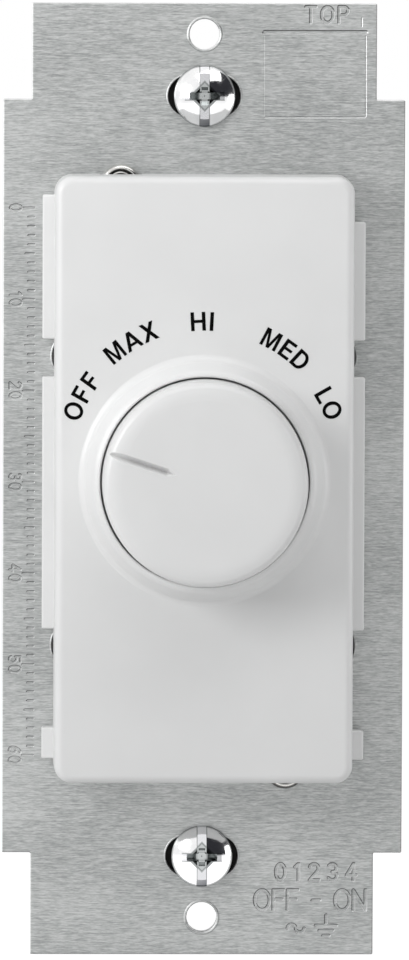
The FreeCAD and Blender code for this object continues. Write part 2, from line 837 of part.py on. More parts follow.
def make_switch_front():
    """Front half of the switch's case: a cup with stop ribs and a pocket for the detent spring."""
    case = rounded_block(case_size, case_size, case_corner_radius, case_front, case_split)
    room = disc(0, 0, case_cavity_radius, cavity_front, case_split + 1)
    pocket = block(
        -detent_pocket_width / 2, detent_pocket_width / 2, cavity_front, case_split + 1, 0, detent_pocket_height
    )
    case = without(case, [room, pocket])
    swing = detent_turns[-1]
    half = rotor_lug_angle / 2 + stop_gap_angle
    low = rotor_rest_lug_angle - swing - half - stop_rib_angle
    high = rotor_rest_lug_angle + half
    rib_depth = rotor_back
    for start in (low, high):
        slice_ = sector(case_cavity_radius + 0.5, start, stop_rib_angle, cavity_front - 0.5, rib_depth)
        rib = slice_.cut(disc(0, 0, case_cavity_radius - stop_rib_reach, cavity_front - 1, rib_depth + 1))
        case = case.fuse(rib)
    case = case.removeSplitter()
    flange_back = case_front + bushing_flange_thickness
    tools = [
        disc(0, 0, bushing_flange_radius + thread_clearance, case_front - 1, flange_back),
        disc(0, 0, bushing_stake_radius + thread_clearance, case_front, cavity_front + 1),
    ]
    for x, z in rivet_places:
        tools.append(disc(x, z, case_rivet_radius + case_rivet_play, case_front - 1, case_split + 1))
        tools.append(
            disc(x, z, case_rivet_head_radius + case_rivet_play, case_front - 1, case_front + case_rivet_head)
        )
    return without(case, tools)


def contact_places():
    """Where the contacts stand: the wiper's place at rest, less the turn of each speed."""
    return [on_circle(contact_circle_radius, wiper_rest_angle - turn) for turn in detent_turns[1:]]


def common_pin_place():
    middle = (common_inner_radius + common_outer_radius) / 2
    return on_circle(middle, wiper_rest_angle - detent_turns[-1] / 2 + 180)


def make_switch_back():
    """Rear half of the switch's case, which carries the contacts and the end of the shaft."""
    plate = rounded_block(case_size, case_size, case_corner_radius, case_split, case_back)
    bearing = disc(0, 0, shaft_pilot_radius + shaft_fit, case_split - 1, case_split + shaft_pilot_length)
    tools = [bearing]
    for x, z in contact_places() + [common_pin_place()]:
        tools.append(disc(x, z, contact_pin_radius + contact_fit, case_split - 1, case_back + 1))
    for x, z in rivet_places:
        tools.append(disc(x, z, case_rivet_radius + case_rivet_play, case_split - 1, case_back + 1))
    return without(plate, tools)


def make_case_rivet(x, z):
    profile = [
        (0, case_front),
        (case_rivet_head_radius, case_front),
        (case_rivet_head_radius, case_front + case_rivet_head),
        (case_rivet_radius, case_front + case_rivet_head),
        (case_rivet_radius, case_back),
        (case_rivet_head_radius, case_back),
        (case_rivet_head_radius - 0.3, case_back + case_rivet_head),
        (0, case_back + case_rivet_head),
    ]
    return turned(profile, x, z)


def make_rotor():
    """Disc with a notch for each position, a stop lug and a flat sided bore for the shaft."""
    rotor = disc(0, 0, rotor_radius, rotor_front, rotor_back)
    lug = sector(
        rotor_lug_radius, rotor_rest_lug_angle - rotor_lug_angle / 2, rotor_lug_angle, rotor_front, rotor_back
    )
    rotor = rotor.fuse(lug).removeSplitter()
    tools = []
    for turn in detent_turns:
        x, z = on_circle(rotor_radius + detent_notch_radius - detent_notch_depth, 90 + turn)
        tools.append(disc(x, z, detent_notch_radius, rotor_front - 1, rotor_back + 1))
    radius = shaft_radius + shaft_fit
    bore = disc(0, 0, radius, rotor_front - 1, rotor_back + 1)
    keep = block(-radius - 1, shaft_flat + shaft_fit, rotor_front - 2, rotor_back + 2, -radius - 1, radius + 1)
    tools.append(turned_to(bore.common(keep), pointer_rest_angle))
    return without(rotor, tools)


def make_wiper():
    """Stamped contact spring on the rotor: a hub plate, one arm, and a dimple over each contact ring."""
    front = rotor_back
    back = front + wiper_thickness
    tip_end = case_split - contact_thickness - wiper_contact_gap
    radius = shaft_radius + shaft_fit
    hub = disc(0, 0, wiper_hub_radius, front, back)
    arm = block(0, contact_circle_radius, front, back, -wiper_arm_width / 2, wiper_arm_width / 2)
    arm = arm.fuse(disc(contact_circle_radius, 0, wiper_arm_width / 2, front, back))
    tip = Part.makeCone(
        wiper_tip_radius * 1.3, wiper_tip_radius * 0.6, tip_end - back,
        vec(contact_circle_radius, back, 0), vec(0, 1, 0),
    )
    ring_middle = (common_inner_radius + common_outer_radius) / 2
    near_tip = Part.makeCone(
        wiper_tip_radius * 0.6, wiper_tip_radius * 0.5, tip_end - back,
        vec(max(ring_middle, radius + wiper_tip_radius * 0.6 + 0.1), back, 0), vec(0, 1, 0),
    )
    wiper = turned_to(joined([hub, arm, tip, near_tip]), wiper_rest_angle)
    bore = disc(0, 0, radius, front - 1, back + 0.001)
    keep = block(-radius - 1, shaft_flat + shaft_fit, front - 2, back + 1, -radius - 1, radius + 1)
    return wiper.cut(turned_to(bore.common(keep), pointer_rest_angle))


def make_contact(x, z):
    """Button on the case's inner face, with a pin that goes through the case and the circuit board."""
    profile = [
        (0, case_split - contact_thickness),
        (contact_radius - 0.15, case_split - contact_thickness),
        (contact_radius, case_split - contact_thickness + 0.15),
        (contact_radius, case_split),
        (contact_pin_radius, case_split),
        (contact_pin_radius, board_back + contact_pin_overhang),
        (0, board_back + contact_pin_overhang),
    ]
    return turned(profile, x, z)


def make_common_contact():
    front = case_split - contact_thickness
    ring = disc(0, 0, common_outer_radius, front, case_split).cut(
        disc(0, 0, common_inner_radius, front - 1, case_split + 1)
    )
    x, z = common_pin_place()
    return joined([ring, disc(x, z, contact_pin_radius, front, board_back + contact_pin_overhang)])


def make_detent_spring():
    """Bent leaf across the top of the case, with its nose in the rotor's notch."""
    t = detent_strip
    front = rotor_front + 0.1
    back = rotor_back - 0.1
    ceiling = detent_pocket_height
    half = detent_pocket_width / 2 - 0.1
    nose = rotor_radius - detent_notch_depth + detent_nose_gap
    rise = ceiling - 1.5 - t
    tip = detent_notch_radius * 0.24
    knee = detent_notch_radius * 1.1
    points = [
        (-half, ceiling - t), (-half + 2.2, ceiling - t), (-knee, rise), (-tip, nose), (tip, nose), (knee, rise),
        (half - 2.2, ceiling - t), (half, ceiling - t), (half, ceiling), (half - 2.4, ceiling),
        (knee - t / 2, rise + t), (tip / 2, nose + t), (-tip / 2, nose + t), (t / 2 - knee, rise + t),
        (-half + 2.4, ceiling), (-half, ceiling),
    ]
    return outline(points, front, back)


def make_circuit_board():
    width = housing_width - 2 * housing_wall - 2 * board_edge_gap
    height = housing_height - 2 * housing_wall - 2 * board_edge_gap
    board = rounded_block(width, height, board_corner_radius, board_front, board_back)
    less = (board_back - sheet_back) * math.tan(math.radians(housing_draft))
    board = board.common(
        rounded_block(width - 2 * less, height - 2 * less, board_corner_radius, board_front, board_back)
    )
    tools = []
    for x, z in contact_places() + [common_pin_place()]:
        tools.append(disc(x, z, contact_pin_radius + board_hole_clearance, board_front - 1, board_back + 1))
    for x, z in board_screw_places:
        tools.append(disc(x, z, board_screw_radius + board_hole_clearance, board_front - 1, board_back + 1))
    return without(board, tools)


def make_capacitor(height, depth, z):
    """Moulded box with rounded corners, raised on four feet so that the contact pins pass under it."""
    length = capacitor_length
    foot = contact_pin_overhang + 0.3
    body = rounded_block(length, height, capacitor_corner_radius, board_back + foot, board_back + depth, 0, z)
    body = rounded_where(body, capacitor_corner_radius * 0.7, lambda e: lies_at(e, board_back + depth))
    feet = []
    for sx in (-1, 1):
        for sz in (-1, 1):
            x = sx * (length / 2 - 1.5)
            feet.append(disc(x, z + sz * (height / 2 - 1.5), 0.9, board_back, board_back + foot + 0.2))
    return joined([body] + feet)


def make_resistor(index):
    """Small resistor lying along X in front of the board, below the switch, with both leads bent to the board."""
    x = resistor_pitch * (index - (resistor_count - 1) / 2)
    z = resistor_z
    y = board_front - resistor_radius - 0.1
    half = resistor_length / 2
    cap = resistor_radius
    waist = resistor_radius * 0.82
    profile = [
        (0, -half), (cap - 0.2, -half), (cap, -half + 0.2), (cap, -half + 1.2), (waist, -half + 1.6),
        (waist, half - 1.6), (cap, half - 1.2), (cap, half - 0.2), (cap - 0.2, half), (0, half),
    ]
    body = turned(profile)
    body.rotate(vec(0, 0, 0), vec(0, 0, 1), 90)
    body.translate(vec(x, y, z))
    reach = half + resistor_lead_reach
    lead = Part.makeCylinder(resistor_lead_radius, 2 * reach, vec(x - reach, y, z), vec(1, 0, 0))
    pieces = [body, lead]
    for side in (-1, 1):
        pieces.append(disc(x + side * reach, z, resistor_lead_radius, y, board_front))
        knee = Part.makeSphere(resistor_lead_radius, vec(x + side * reach, y, z))
        pieces.append(knee)
    return joined(pieces)


def make_board_screw(x, z):
    top = board_front - board_screw_head
    profile = [
        (0, top),
        ((board_screw_head_radius * 0.6, top + board_screw_head * 0.2), (board_screw_head_radius, top + 0.9)),
        (board_screw_head_radius, board_front),
        (board_screw_radius, board_front),
        (board_screw_radius, board_front + board_screw_length - 0.8),
        (board_screw_radius - 0.8, board_front + board_screw_length),
        (0, board_front + board_screw_length),
    ]
    return turned(profile, x, z)


def make_ear(side):
    """Flat ear beyond the box's end, with two ribs that brace it against the box."""
    z0 = housing_height / 2 - housing_wall / 2
    z1 = ear_end
    back = sheet_back + ear_thickness
    low, high = (z0, z1) if side > 0 else (-z1, -z0)
    ear = block(-housing_width / 2, housing_width / 2, sheet_back, back, low, high)

    def outer_corner(edge):
        return runs_along_y(edge) and abs(abs(edge.BoundBox.Center.z) - z1) < 1e-4

    ear = rounded_where(ear, ear_corner_radius, outer_corner)
    pieces = [ear]
    inner = housing_height / 2 - housing_wall / 2
    for sx in (-1, 1):
        x = sx * (housing_width / 2 - housing_corner_radius - ear_rib_thickness)
        places = [
            vec(x - ear_rib_thickness / 2, back - 0.5, side * inner),
            vec(x - ear_rib_thickness / 2, back - 0.5, side * (z1 - 1.0)),
            vec(x - ear_rib_thickness / 2, back, side * (z1 - 1.0)),
            vec(x - ear_rib_thickness / 2, back + ear_rib_depth, side * inner),
        ]
        face = Part.Face(Part.makePolygon(places + [places[0]]))
        pieces.append(face.extrude(vec(ear_rib_thickness, 0, 0)))
    return joined(pieces)


def make_housing():
    shell = tapered_block(
        housing_width, housing_height, housing_corner_radius, sheet_back, housing_back, housing_draft
    )
    shell = rounded_where(shell, housing_edge_radius, lambda e: lies_at(e, housing_back))
    inner_radius = max(housing_corner_radius - housing_wall, 0.5)
    room = tapered_block(
        housing_width - 2 * housing_wall,
        housing_height - 2 * housing_wall,
        inner_radius,
        sheet_back,
        housing_floor,
        housing_draft,
    )
    housing = joined([shell, make_ear(1), make_ear(-1)]).cut(room)
    posts = []
    for x, z in boss_places:
        post = disc(x, z, boss_radius, board_back, housing_floor + 0.5)
        sx = 1 if x > 0 else -1
        wall = housing_width / 2 - housing_wall / 2
        web = block(
            min(x, sx * wall), max(x, sx * wall), board_back + 2.0, housing_floor + 0.5, z - 0.6, z + 0.6
        )
        web = web.common(
            tapered_block(
                housing_width - housing_wall,
                housing_height - housing_wall,
                inner_radius,
                sheet_back,
                housing_floor + 0.5,
                housing_draft,
            )
        )
        posts += [post, web]
    housing = joined([housing] + posts)
    tools = []
    for x, z in board_screw_places:
        depth = board_front + board_screw_length + 0.5
        tools.append(disc(x, z, board_screw_radius + board_screw_fit, board_back - 1, depth))
    for x, z in lead_places:
        tools.append(disc(x, z, lead_neck_radius + lead_fit, housing_floor - 1, housing_back + 1))
    for x, z in eyelet_places:
        tools.append(
            disc(x, z, eyelet_shank_radius + eyelet_fit, sheet_back - 1, sheet_back + ear_thickness + 1)
        )
    return without(housing, tools)


def make_lead_bushing(x, z):
    """Bushing with a rounded outer flange and a snap lip inside the back wall."""
    outer = housing_back + lead_flange_thickness
    inner = housing_floor
    profile = [
        (lead_bore_radius, outer - 0.5),
        ((lead_bore_radius + 0.15, outer - 0.15), (lead_bore_radius + 0.5, outer)),
        (lead_flange_radius - 0.5, outer),
        ((lead_flange_radius - 0.15, outer - 0.15), (lead_flange_radius, outer - 0.5)),
        (lead_flange_radius, housing_back),
        (lead_neck_radius, housing_back),
        (lead_neck_radius, inner),
        (lead_neck_radius + lead_lip, inner),
        (lead_neck_radius - 0.2, inner - 1.2),
        (lead_bore_radius, inner - 1.2),
    ]
    return turned(profile, x, z)


def group(make, places):
    return Part.makeCompound([make(x, z) for x, z in places])


def build():
    return {
        "strap": make_strap(),
        "box_screws": group(make_screw, screw_places),
        "screw_retainers": group(make_retainer, screw_places),
        "strap_eyelets": group(make_eyelet, eyelet_places),
        "cover": make_cover(),
        "knob": make_knob(),
        "knob_clip": make_knob_clip(),
        "shaft": make_shaft(),
        "shaft_ring": make_shaft_ring(),
        "bushing": make_bushing(),
        "lock_washer": make_lock_washer(),
        "bushing_nut": make_bushing_nut(),
        "insulating_sheet": make_insulating_sheet(),
        "switch_front": make_switch_front(),
        "switch_back": make_switch_back(),
        "switch_rivets": group(make_case_rivet, rivet_places),
        "rotor": make_rotor(),
        "wiper": make_wiper(),
        "detent_spring": make_detent_spring(),
        "fixed_contacts": group(make_contact, contact_places()),
        "common_contact": make_common_contact(),
        "circuit_board": make_circuit_board(),
        "capacitor_large": make_capacitor(large_capacitor_height, large_capacitor_depth, large_capacitor_z),
        "capacitor_small": make_capacitor(small_capacitor_height, small_capacitor_depth, small_capacitor_z),
        "bleed_resistors": Part.makeCompound([make_resistor(i) for i in range(resistor_count)]),
        "board_screws": group(make_board_screw, board_screw_places),
        "housing": make_housing(),
        "lead_bushings": group(make_lead_bushing, lead_places),
    }


os.makedirs("parts", exist_ok=True)
for name, shape in build().items():
    solids = shape.Solids
    print(name, "solids", len(solids), "valid", shape.isValid(), "volume", round(shape.Volume, 2))
    result = solids[0] if len(solids) == 1 else Part.makeCompound(solids)
    result.exportStep("parts/" + name + ".step")
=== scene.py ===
import bpy
import bmesh
import json
import math
from mathutils import Matrix, Vector
from mathutils.geometry import delaunay_2d_cdt


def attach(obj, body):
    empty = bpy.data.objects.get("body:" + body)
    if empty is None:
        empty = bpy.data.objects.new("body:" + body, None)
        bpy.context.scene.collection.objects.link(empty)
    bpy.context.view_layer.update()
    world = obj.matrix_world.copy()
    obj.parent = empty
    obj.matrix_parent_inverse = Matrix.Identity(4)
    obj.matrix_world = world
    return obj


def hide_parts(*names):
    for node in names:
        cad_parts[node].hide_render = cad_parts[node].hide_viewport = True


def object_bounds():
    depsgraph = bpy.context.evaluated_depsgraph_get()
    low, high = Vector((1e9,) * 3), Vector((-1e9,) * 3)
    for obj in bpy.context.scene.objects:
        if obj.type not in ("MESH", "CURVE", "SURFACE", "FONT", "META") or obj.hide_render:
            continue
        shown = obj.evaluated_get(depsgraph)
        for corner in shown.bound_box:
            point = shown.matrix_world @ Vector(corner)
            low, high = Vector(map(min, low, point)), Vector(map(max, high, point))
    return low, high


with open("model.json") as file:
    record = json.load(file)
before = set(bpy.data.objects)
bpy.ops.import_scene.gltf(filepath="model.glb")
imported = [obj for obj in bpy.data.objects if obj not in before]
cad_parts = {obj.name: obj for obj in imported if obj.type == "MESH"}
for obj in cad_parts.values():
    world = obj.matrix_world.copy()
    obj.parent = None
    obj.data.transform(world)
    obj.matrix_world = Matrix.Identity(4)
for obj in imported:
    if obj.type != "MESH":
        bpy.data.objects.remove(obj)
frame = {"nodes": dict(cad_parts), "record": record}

cad_low, cad_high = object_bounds()
MM = 0.001
nodes = frame["nodes"]
scene = bpy.context.scene

# Sizes in millimetres, most of them shared with the solids. The part's front faces -Y,
# and STRAP_FRONT, STRAP_BACK, COVER_FACE and KNOB_FACE are levels along Y.

# Strap: TOP_EDGE and BOTTOM_EDGE are how far it reaches past the plate holes
STRAP_FRONT = -2.8
STRAP_BACK = -1.2
STRAP_HALF = 21.95
STRAP_END_HALF = 18.825
STRAP_CORNER = 0.15
SHOULDER_DROP = 0.37
TOP_EDGE = 3.4
BOTTOM_EDGE = 4.1
SCREW_Z = 41.67
SCREW_SLOT_LENGTH = 7.9
SCREW_SLOT_WIDTH = 4.45
PLATE_HOLE_Z = 48.42
PLATE_HOLE_RADIUS = 1.65
WINDOW_RADIUS = 2.8
EYELET_RADIUS = 1.53
BUSHING_RADIUS = 4.9
# The two right windows stand 0.17 further out than in the solid, to show beside the cover
WINDOWS = [(x, z) for x in (-13.73, 13.90) for z in (13.2, -18.5)]
EYELETS = [(-9.1, 32.0), (9.1, -32.0)]

# Box screws
HEAD_RADIUS = 3.36
HEAD_HEIGHT = 2.0
HEAD_RIM = 0.55
SLOT_HALF = 0.52
NECK_RADIUS = 1.45
CORE_RADIUS = 1.33
THREAD_MAJOR, THREAD_MINOR = 1.74, 1.34
THREAD_PITCH = 0.794
THREAD_END = 15.2
TIP_END = 15.46

# Cover, and the knob with its pointer's groove
COVER_FACE = -9.8
KNOB_FACE = -18.0
POINTER_TURN = math.radians(162.0)
POINTER_HALF = 0.44
POINTER_START = 3.5
POINTER_END = 10.1
POINTER_DEEP = 0.50

# Camera at the photograph's place
TARGET = Vector((0.161, -2.8, -0.325)) * MM
AZIMUTH, ELEVATION, ROLL = math.radians(-1.352), math.radians(3.4355), math.radians(0.2154)
DISTANCE = 0.87885
LENS, SENSOR = 301.02, 36.0
NEAREST, FARTHEST = 0.05, 20.0


def make_camera():
    """The camera at the photograph's place, which looks at TARGET."""
    back = Vector((
        math.sin(AZIMUTH) * math.cos(ELEVATION),
        -math.cos(AZIMUTH) * math.cos(ELEVATION),
        math.sin(ELEVATION),
    ))
    right = Vector((math.cos(AZIMUTH), math.sin(AZIMUTH), 0.0))
    up = back.cross(right)
    r = right * math.cos(ROLL) + up * math.sin(ROLL)
    u = up * math.cos(ROLL) - right * math.sin(ROLL)
    data = bpy.data.cameras.new("camera")
    data.lens = LENS
    data.sensor_width = SENSOR
    data.clip_start, data.clip_end = NEAREST, FARTHEST
    cam = bpy.data.objects.new("camera", data)
    scene.collection.objects.link(cam)
    place = TARGET + back * DISTANCE
    cam.matrix_world = Matrix((
        (r.x, u.x, back.x, place.x),
        (r.y, u.y, back.y, place.y),
        (r.z, u.z, back.z, place.z),
        (0.0, 0.0, 0.0, 1.0),
    ))
    scene.camera = cam


# Materials

EVEN = (1.0, 1.0, 1.0)
REARWARD = (0.0, 1.0, 0.0)


def shade(name):
    """A new material with a Principled shader; returns material, tree, shader."""
    m = bpy.data.materials.new(name)
    m.use_nodes = True
    t = m.node_tree
    t.nodes.clear()
    out = t.nodes.new("ShaderNodeOutputMaterial")
    s = t.nodes.new("ShaderNodeBsdfPrincipled")
    t.links.new(s.outputs["BSDF"], out.inputs["Surface"])
    return m, t, s


def space(t, scale):
    """Object coordinates in millimetres, stretched by this scale."""
    c = t.nodes.new("ShaderNodeTexCoord")
    p = t.nodes.new("ShaderNodeMapping")
    p.inputs["Scale"].default_value = [1000.0 * v for v in scale]
    t.links.new(c.outputs["Object"], p.inputs["Vector"])
    return p.outputs["Vector"]


def noise(t, vector, scale, detail=3.0, rough=0.55, distortion=0.0):
    n = t.nodes.new("ShaderNodeTexNoise")
    n.inputs["Scale"].default_value = scale
    n.inputs["Detail"].default_value = detail
    n.inputs["Roughness"].default_value = rough
    n.inputs["Distortion"].default_value = distortion
    t.links.new(vector, n.inputs["Vector"])
    return n.outputs["Fac"]


def spread(t, value, low, high, start=0.3, end=0.7):
    """Maps a value from start..end to low..high and keeps it in there."""
    r = t.nodes.new("ShaderNodeMapRange")
    r.inputs["From Min"].default_value = start
    r.inputs["From Max"].default_value = end
    r.inputs["To Min"].default_value = low
    r.inputs["To Max"].default_value = high
    t.links.new(value, r.inputs["Value"])
    return r.outputs["Result"]


def total(t, a, b, how="ADD"):
    """The sum of two values, or what another operation makes of them."""
    n = t.nodes.new("ShaderNodeMath")
    n.operation = how
    t.links.new(a, n.inputs[0])
    if isinstance(b, float):
        n.inputs[1].default_value = b
    else:
        t.links.new(b, n.inputs[1])
    return n.outputs[0]


def ramp(t, value, low, high, start=0.3, end=0.7):
    """From one colour to another as a value goes from start to end."""
    r = t.nodes.new("ShaderNodeValToRGB")
    r.color_ramp.elements[0].position = start
    r.color_ramp.elements[1].position = end
    r.color_ramp.elements[0].color = (*low, 1.0)
    r.color_ramp.elements[1].color = (*high, 1.0)
    t.links.new(value, r.inputs["Fac"])
    return r.outputs["Color"]


def bump(t, shader, height, strength, distance):
    """Lets a height, over a distance in millimetres, tilt the shader's normal."""
    b = t.nodes.new("ShaderNodeBump")
    b.inputs["Strength"].default_value = strength
    b.inputs["Distance"].default_value = distance * MM
    t.links.new(height, b.inputs["Height"])
    t.links.new(b.outputs["Normal"], shader.inputs["Normal"])


def along(t, vector, direction):
    """How far a vector reaches along a direction, in the vector's own unit."""
    n = t.nodes.new("ShaderNodeVectorMath")
    n.operation = "DOT_PRODUCT"
    n.inputs[1].default_value = direction
    t.links.new(vector, n.inputs[0])
    return n.outputs["Value"]


def facing(t, direction):
    """How far the surface faces a direction, from its own normal."""
    return along(t, t.nodes.new("ShaderNodeNewGeometry").outputs["True Normal"], direction)


def mixed_colour(t, share, first, second):
    """The first colour where the share is zero, the second where it is one."""
    mix = t.nodes.new("ShaderNodeMix")
    mix.data_type = "RGBA"
    t.links.new(share, mix.inputs[0])
    t.links.new(first, mix.inputs[6])
    t.links.new(second, mix.inputs[7])
    return mix.outputs[2]


def size_of(t, value):
    """The value without its sign."""
    n = t.nodes.new("ShaderNodeMath")
    n.operation = "ABSOLUTE"
    t.links.new(value, n.inputs[0])
    return n.outputs[0]


def brushed_aluminium():
    """Brushed along X; pressed edges get a painted highlight where they face the upper left and
    painted shade where they face down.
    """
    m, t, s = shade("strap_aluminium")
    streaks = noise(t, space(t, (0.42, 1.0, 6.5)), 1.0, 3.0, 0.60, 0.1)
    fine = noise(t, space(t, (1.6, 2.0, 12.0)), 1.0, 2.0, 0.55)
    cloud = noise(t, space(t, (0.07, 0.10, 0.11)), 1.0, 2.0, 0.5)
    mixed = total(t, total(t, streaks, 0.5, "MULTIPLY"), total(t, fine, 0.5, "MULTIPLY"))
    tone = total(t, total(t, mixed, 0.82, "MULTIPLY"), total(t, cloud, 0.18, "MULTIPLY"))
    sheet = ramp(t, tone, (0.310, 0.321, 0.318), (0.570, 0.580, 0.575), 0.40, 0.60)
    level = size_of(t, facing(t, REARWARD))
    edge = spread(t, level, 1.0, 0.0, 0.45, 0.985)
    # The sheared walls of outline and holes stay as plain as the sheet
    edge = total(t, edge, spread(t, level, 0.0, 1.0, 0.06, 0.25), "MULTIPLY")
    # Painted light on the pressed edges: a painted highlight facing the upper left, painted shade
    # facing away from it
    toward_light = facing(t, (-0.40, 0.0, 0.92))
    painted_edge_light = ramp(t, toward_light, (0.045, 0.046, 0.046), (0.94, 0.94, 0.94), -0.04, 0.10)
    t.links.new(mixed_colour(t, edge, sheet, painted_edge_light), s.inputs["Base Color"])
    t.links.new(spread(t, streaks, 0.36, 0.50), s.inputs["Roughness"])
    bump(t, s, mixed, 0.8, 0.03)
    s.inputs["Metallic"].default_value = 0.6
    s.inputs["Anisotropic"].default_value = 0.3
    return m


def plated(name, low, high, rough_low, rough_high):
    """Bare or plated metal with uneven colour and gloss."""
    m, t, s = shade(name)
    v = noise(t, space(t, EVEN), 0.8, 3.0, 0.55)
    fine = noise(t, space(t, EVEN), 6.0, 2.0, 0.5)
    t.links.new(ramp(t, v, low, high), s.inputs["Base Color"])
    t.links.new(spread(t, v, rough_low, rough_high), s.inputs["Roughness"])
    bump(t, s, total(t, v, fine), 0.05, 0.02)
    s.inputs["Metallic"].default_value = 1.0
    return m


def near(t, value, middle, reach):
    """One where the value lies within reach of the middle, else zero."""
    n = t.nodes.new("ShaderNodeMath")
    n.operation = "COMPARE"
    t.links.new(value, n.inputs[0])
    n.inputs[1].default_value = middle
    n.inputs[2].default_value = reach
    return n.outputs[0]


def screw_plating():
    """Bright plating on the dome, with painted light and shade by facing in slot and recess, and
    painted shade on walls, rim and along the recess's edges.
    """
    m, t, s = shade("screw_zinc")
    v = noise(t, space(t, EVEN), 0.7, 3.0, 0.55)
    fine = noise(t, space(t, EVEN), 5.0, 2.0, 0.5)
    parts = t.nodes.new("ShaderNodeSeparateXYZ")
    t.links.new(space(t, EVEN), parts.inputs["Vector"])
    # Distances from the screw's own middle: the slot runs along Z, the cross's arms along X
    x = size_of(t, parts.outputs["X"])
    z = size_of(t, total(t, size_of(t, parts.outputs["Z"]), -SCREW_Z))
    slot = near(t, x, 0.0, 0.53)
    arm = total(t, near(t, x, 0.0, 2.17), near(t, z, 0.0, 0.44), "MULTIPLY")
    middle = near(t, total(t, x, z), 0.0, 1.75)
    recess = total(t, total(t, slot, arm, "MAXIMUM"), middle, "MAXIMUM")
    # Walls and rim, where the head turns from the front, take a painted shade instead of the bright
    # plating
    flat = spread(t, size_of(t, facing(t, REARWARD)), 0.0, 1.0, 0.30, 0.72)
    bright = ramp(t, v, (0.84, 0.84, 0.85), (0.94, 0.94, 0.94))
    painted_shade_metal = ramp(t, v, (0.16, 0.17, 0.17), (0.26, 0.27, 0.27))
    dome = mixed_colour(t, flat, painted_shade_metal, bright)
    # Painted light in slot, arms and bowl: bright where a face turns to the upper left, painted
    # shade where it turns away
    turn = spread(t, facing(t, (-0.34, -0.10, 0.60)), 0.0, 1.0, -0.42, 0.40)
    pressed = ramp(t, turn, (0.10, 0.105, 0.115), (0.92, 0.92, 0.94), 0.0, 1.0)
    bowl = ramp(t, turn, (0.09, 0.10, 0.10), (0.66, 0.68, 0.68), 0.10, 1.0)
    pressed = mixed_colour(t, middle, pressed, bowl)
    # Painted shade in lines along the edges of slot, arms and bowl
    lines = total(t, near(t, z, 0.44, 0.05), near(t, x, 0.0, 2.2), "MULTIPLY")
    lines = total(t, near(t, x, 0.53, 0.055), lines, "MAXIMUM")
    lines = total(t, lines, near(t, total(t, x, z), 1.54, 0.10), "MAXIMUM")
    inner = mixed_colour(t, recess, dome, pressed)
    lines = total(t, lines, 0.75, "MULTIPLY")
    t.links.new(mixed_colour(t, lines, inner, painted_shade_metal), s.inputs["Base Color"])
    t.links.new(spread(t, v, 0.08, 0.16), s.inputs["Roughness"])
    bump(t, s, total(t, v, fine), 0.16, 0.02)
    s.inputs["Metallic"].default_value = 1.0
    return m


def rolled_nickel():
    """Nickel of the rolled eyelets, with painted shade where the roll faces down."""
    m, t, s = shade("eyelet_nickel")
    v = noise(t, space(t, EVEN), 1.2, 3.0, 0.55)
    clean = ramp(t, v, (0.66, 0.65, 0.63), (0.80, 0.79, 0.76))
    # Painted shade on the underside of the roll
    painted_shade_nickel = ramp(t, v, (0.060, 0.058, 0.056), (0.12, 0.117, 0.113))
    down = spread(t, facing(t, (0.0, 0.0, -1.0)), 0.0, 1.0, 0.02, 0.35)
    t.links.new(mixed_colour(t, down, clean, painted_shade_nickel), s.inputs["Base Color"])
    t.links.new(spread(t, v, 0.14, 0.28), s.inputs["Roughness"])
    bump(t, s, v, 0.1, 0.02)
    s.inputs["Metallic"].default_value = 1.0
    return m


def moulded(name, low, high, rough_low, rough_high, grain, grain_scale=5.0):
    """Moulded plastic: barely uneven colour, uneven gloss, and a fine surface grain."""
    m, t, s = shade(name)
    wide = noise(t, space(t, EVEN), 0.12, 2.0, 0.5)
    fine = noise(t, space(t, EVEN), grain_scale, 3.0, 0.6)
    t.links.new(ramp(t, wide, low, high), s.inputs["Base Color"])
    t.links.new(spread(t, fine, rough_low, rough_high), s.inputs["Roughness"])
    bump(t, s, fine, grain, 0.02)
    return m


def knob_plastic():
    """The knob's plastic, with painted shade in the bottom of the pointer's groove."""
    m = moulded("knob_white", WHITE_LOW, WHITE_HIGH, 0.28, 0.36, 0.04, 4.0)
    t = m.node_tree
    shader = next(n for n in t.nodes if n.type == "BSDF_PRINCIPLED")
    clean = shader.inputs["Base Color"].links[0].from_socket
    place = space(t, EVEN)
    c, s = math.cos(POINTER_TURN), math.sin(POINTER_TURN)
    groove = near(t, along(t, place, (s, 0.0, -c)), 0.0, POINTER_HALF)
    outward = along(t, place, (c, 0.0, s))
    fading = spread(t, outward, 1.0, 0.0, 8.2, 10.0)
    middle, reach = (POINTER_START + POINTER_END) / 2, (POINTER_END - POINTER_START) / 2
    outward = near(t, outward, middle, reach)
    deep = spread(t, along(t, place, REARWARD), 0.0, 1.0, KNOB_FACE, KNOB_FACE + POINTER_DEEP)
    # Painted shade in the pointer's groove, deepest at its bottom and fading out towards the rim
    groove_shade = total(t, groove, outward, "MULTIPLY")
    groove_shade = total(t, groove_shade, total(t, deep, fading, "MULTIPLY"), "MULTIPLY")
    groove_shade_colour = ramp(t, noise(t, place, 3.0), (0.60, 0.60, 0.60), (0.66, 0.66, 0.66))
    t.links.new(mixed_colour(t, groove_shade, clean, groove_shade_colour), shader.inputs["Base Color"])
    return m


def ink():
    """Black ink of the printed words, matt."""
    m, t, s = shade("printed_ink")
    v = noise(t, space(t, EVEN), 7.0, 2.0, 0.5)
    t.links.new(ramp(t, v, (0.0015, 0.0015, 0.0015), (0.003, 0.003, 0.003)), s.inputs["Base Color"])
    t.links.new(spread(t, v, 0.50, 0.62), s.inputs["Roughness"])
    s.inputs["Specular IOR Level"].default_value = 0.03
    bump(t, s, v, 0.15, 0.01)
    return m


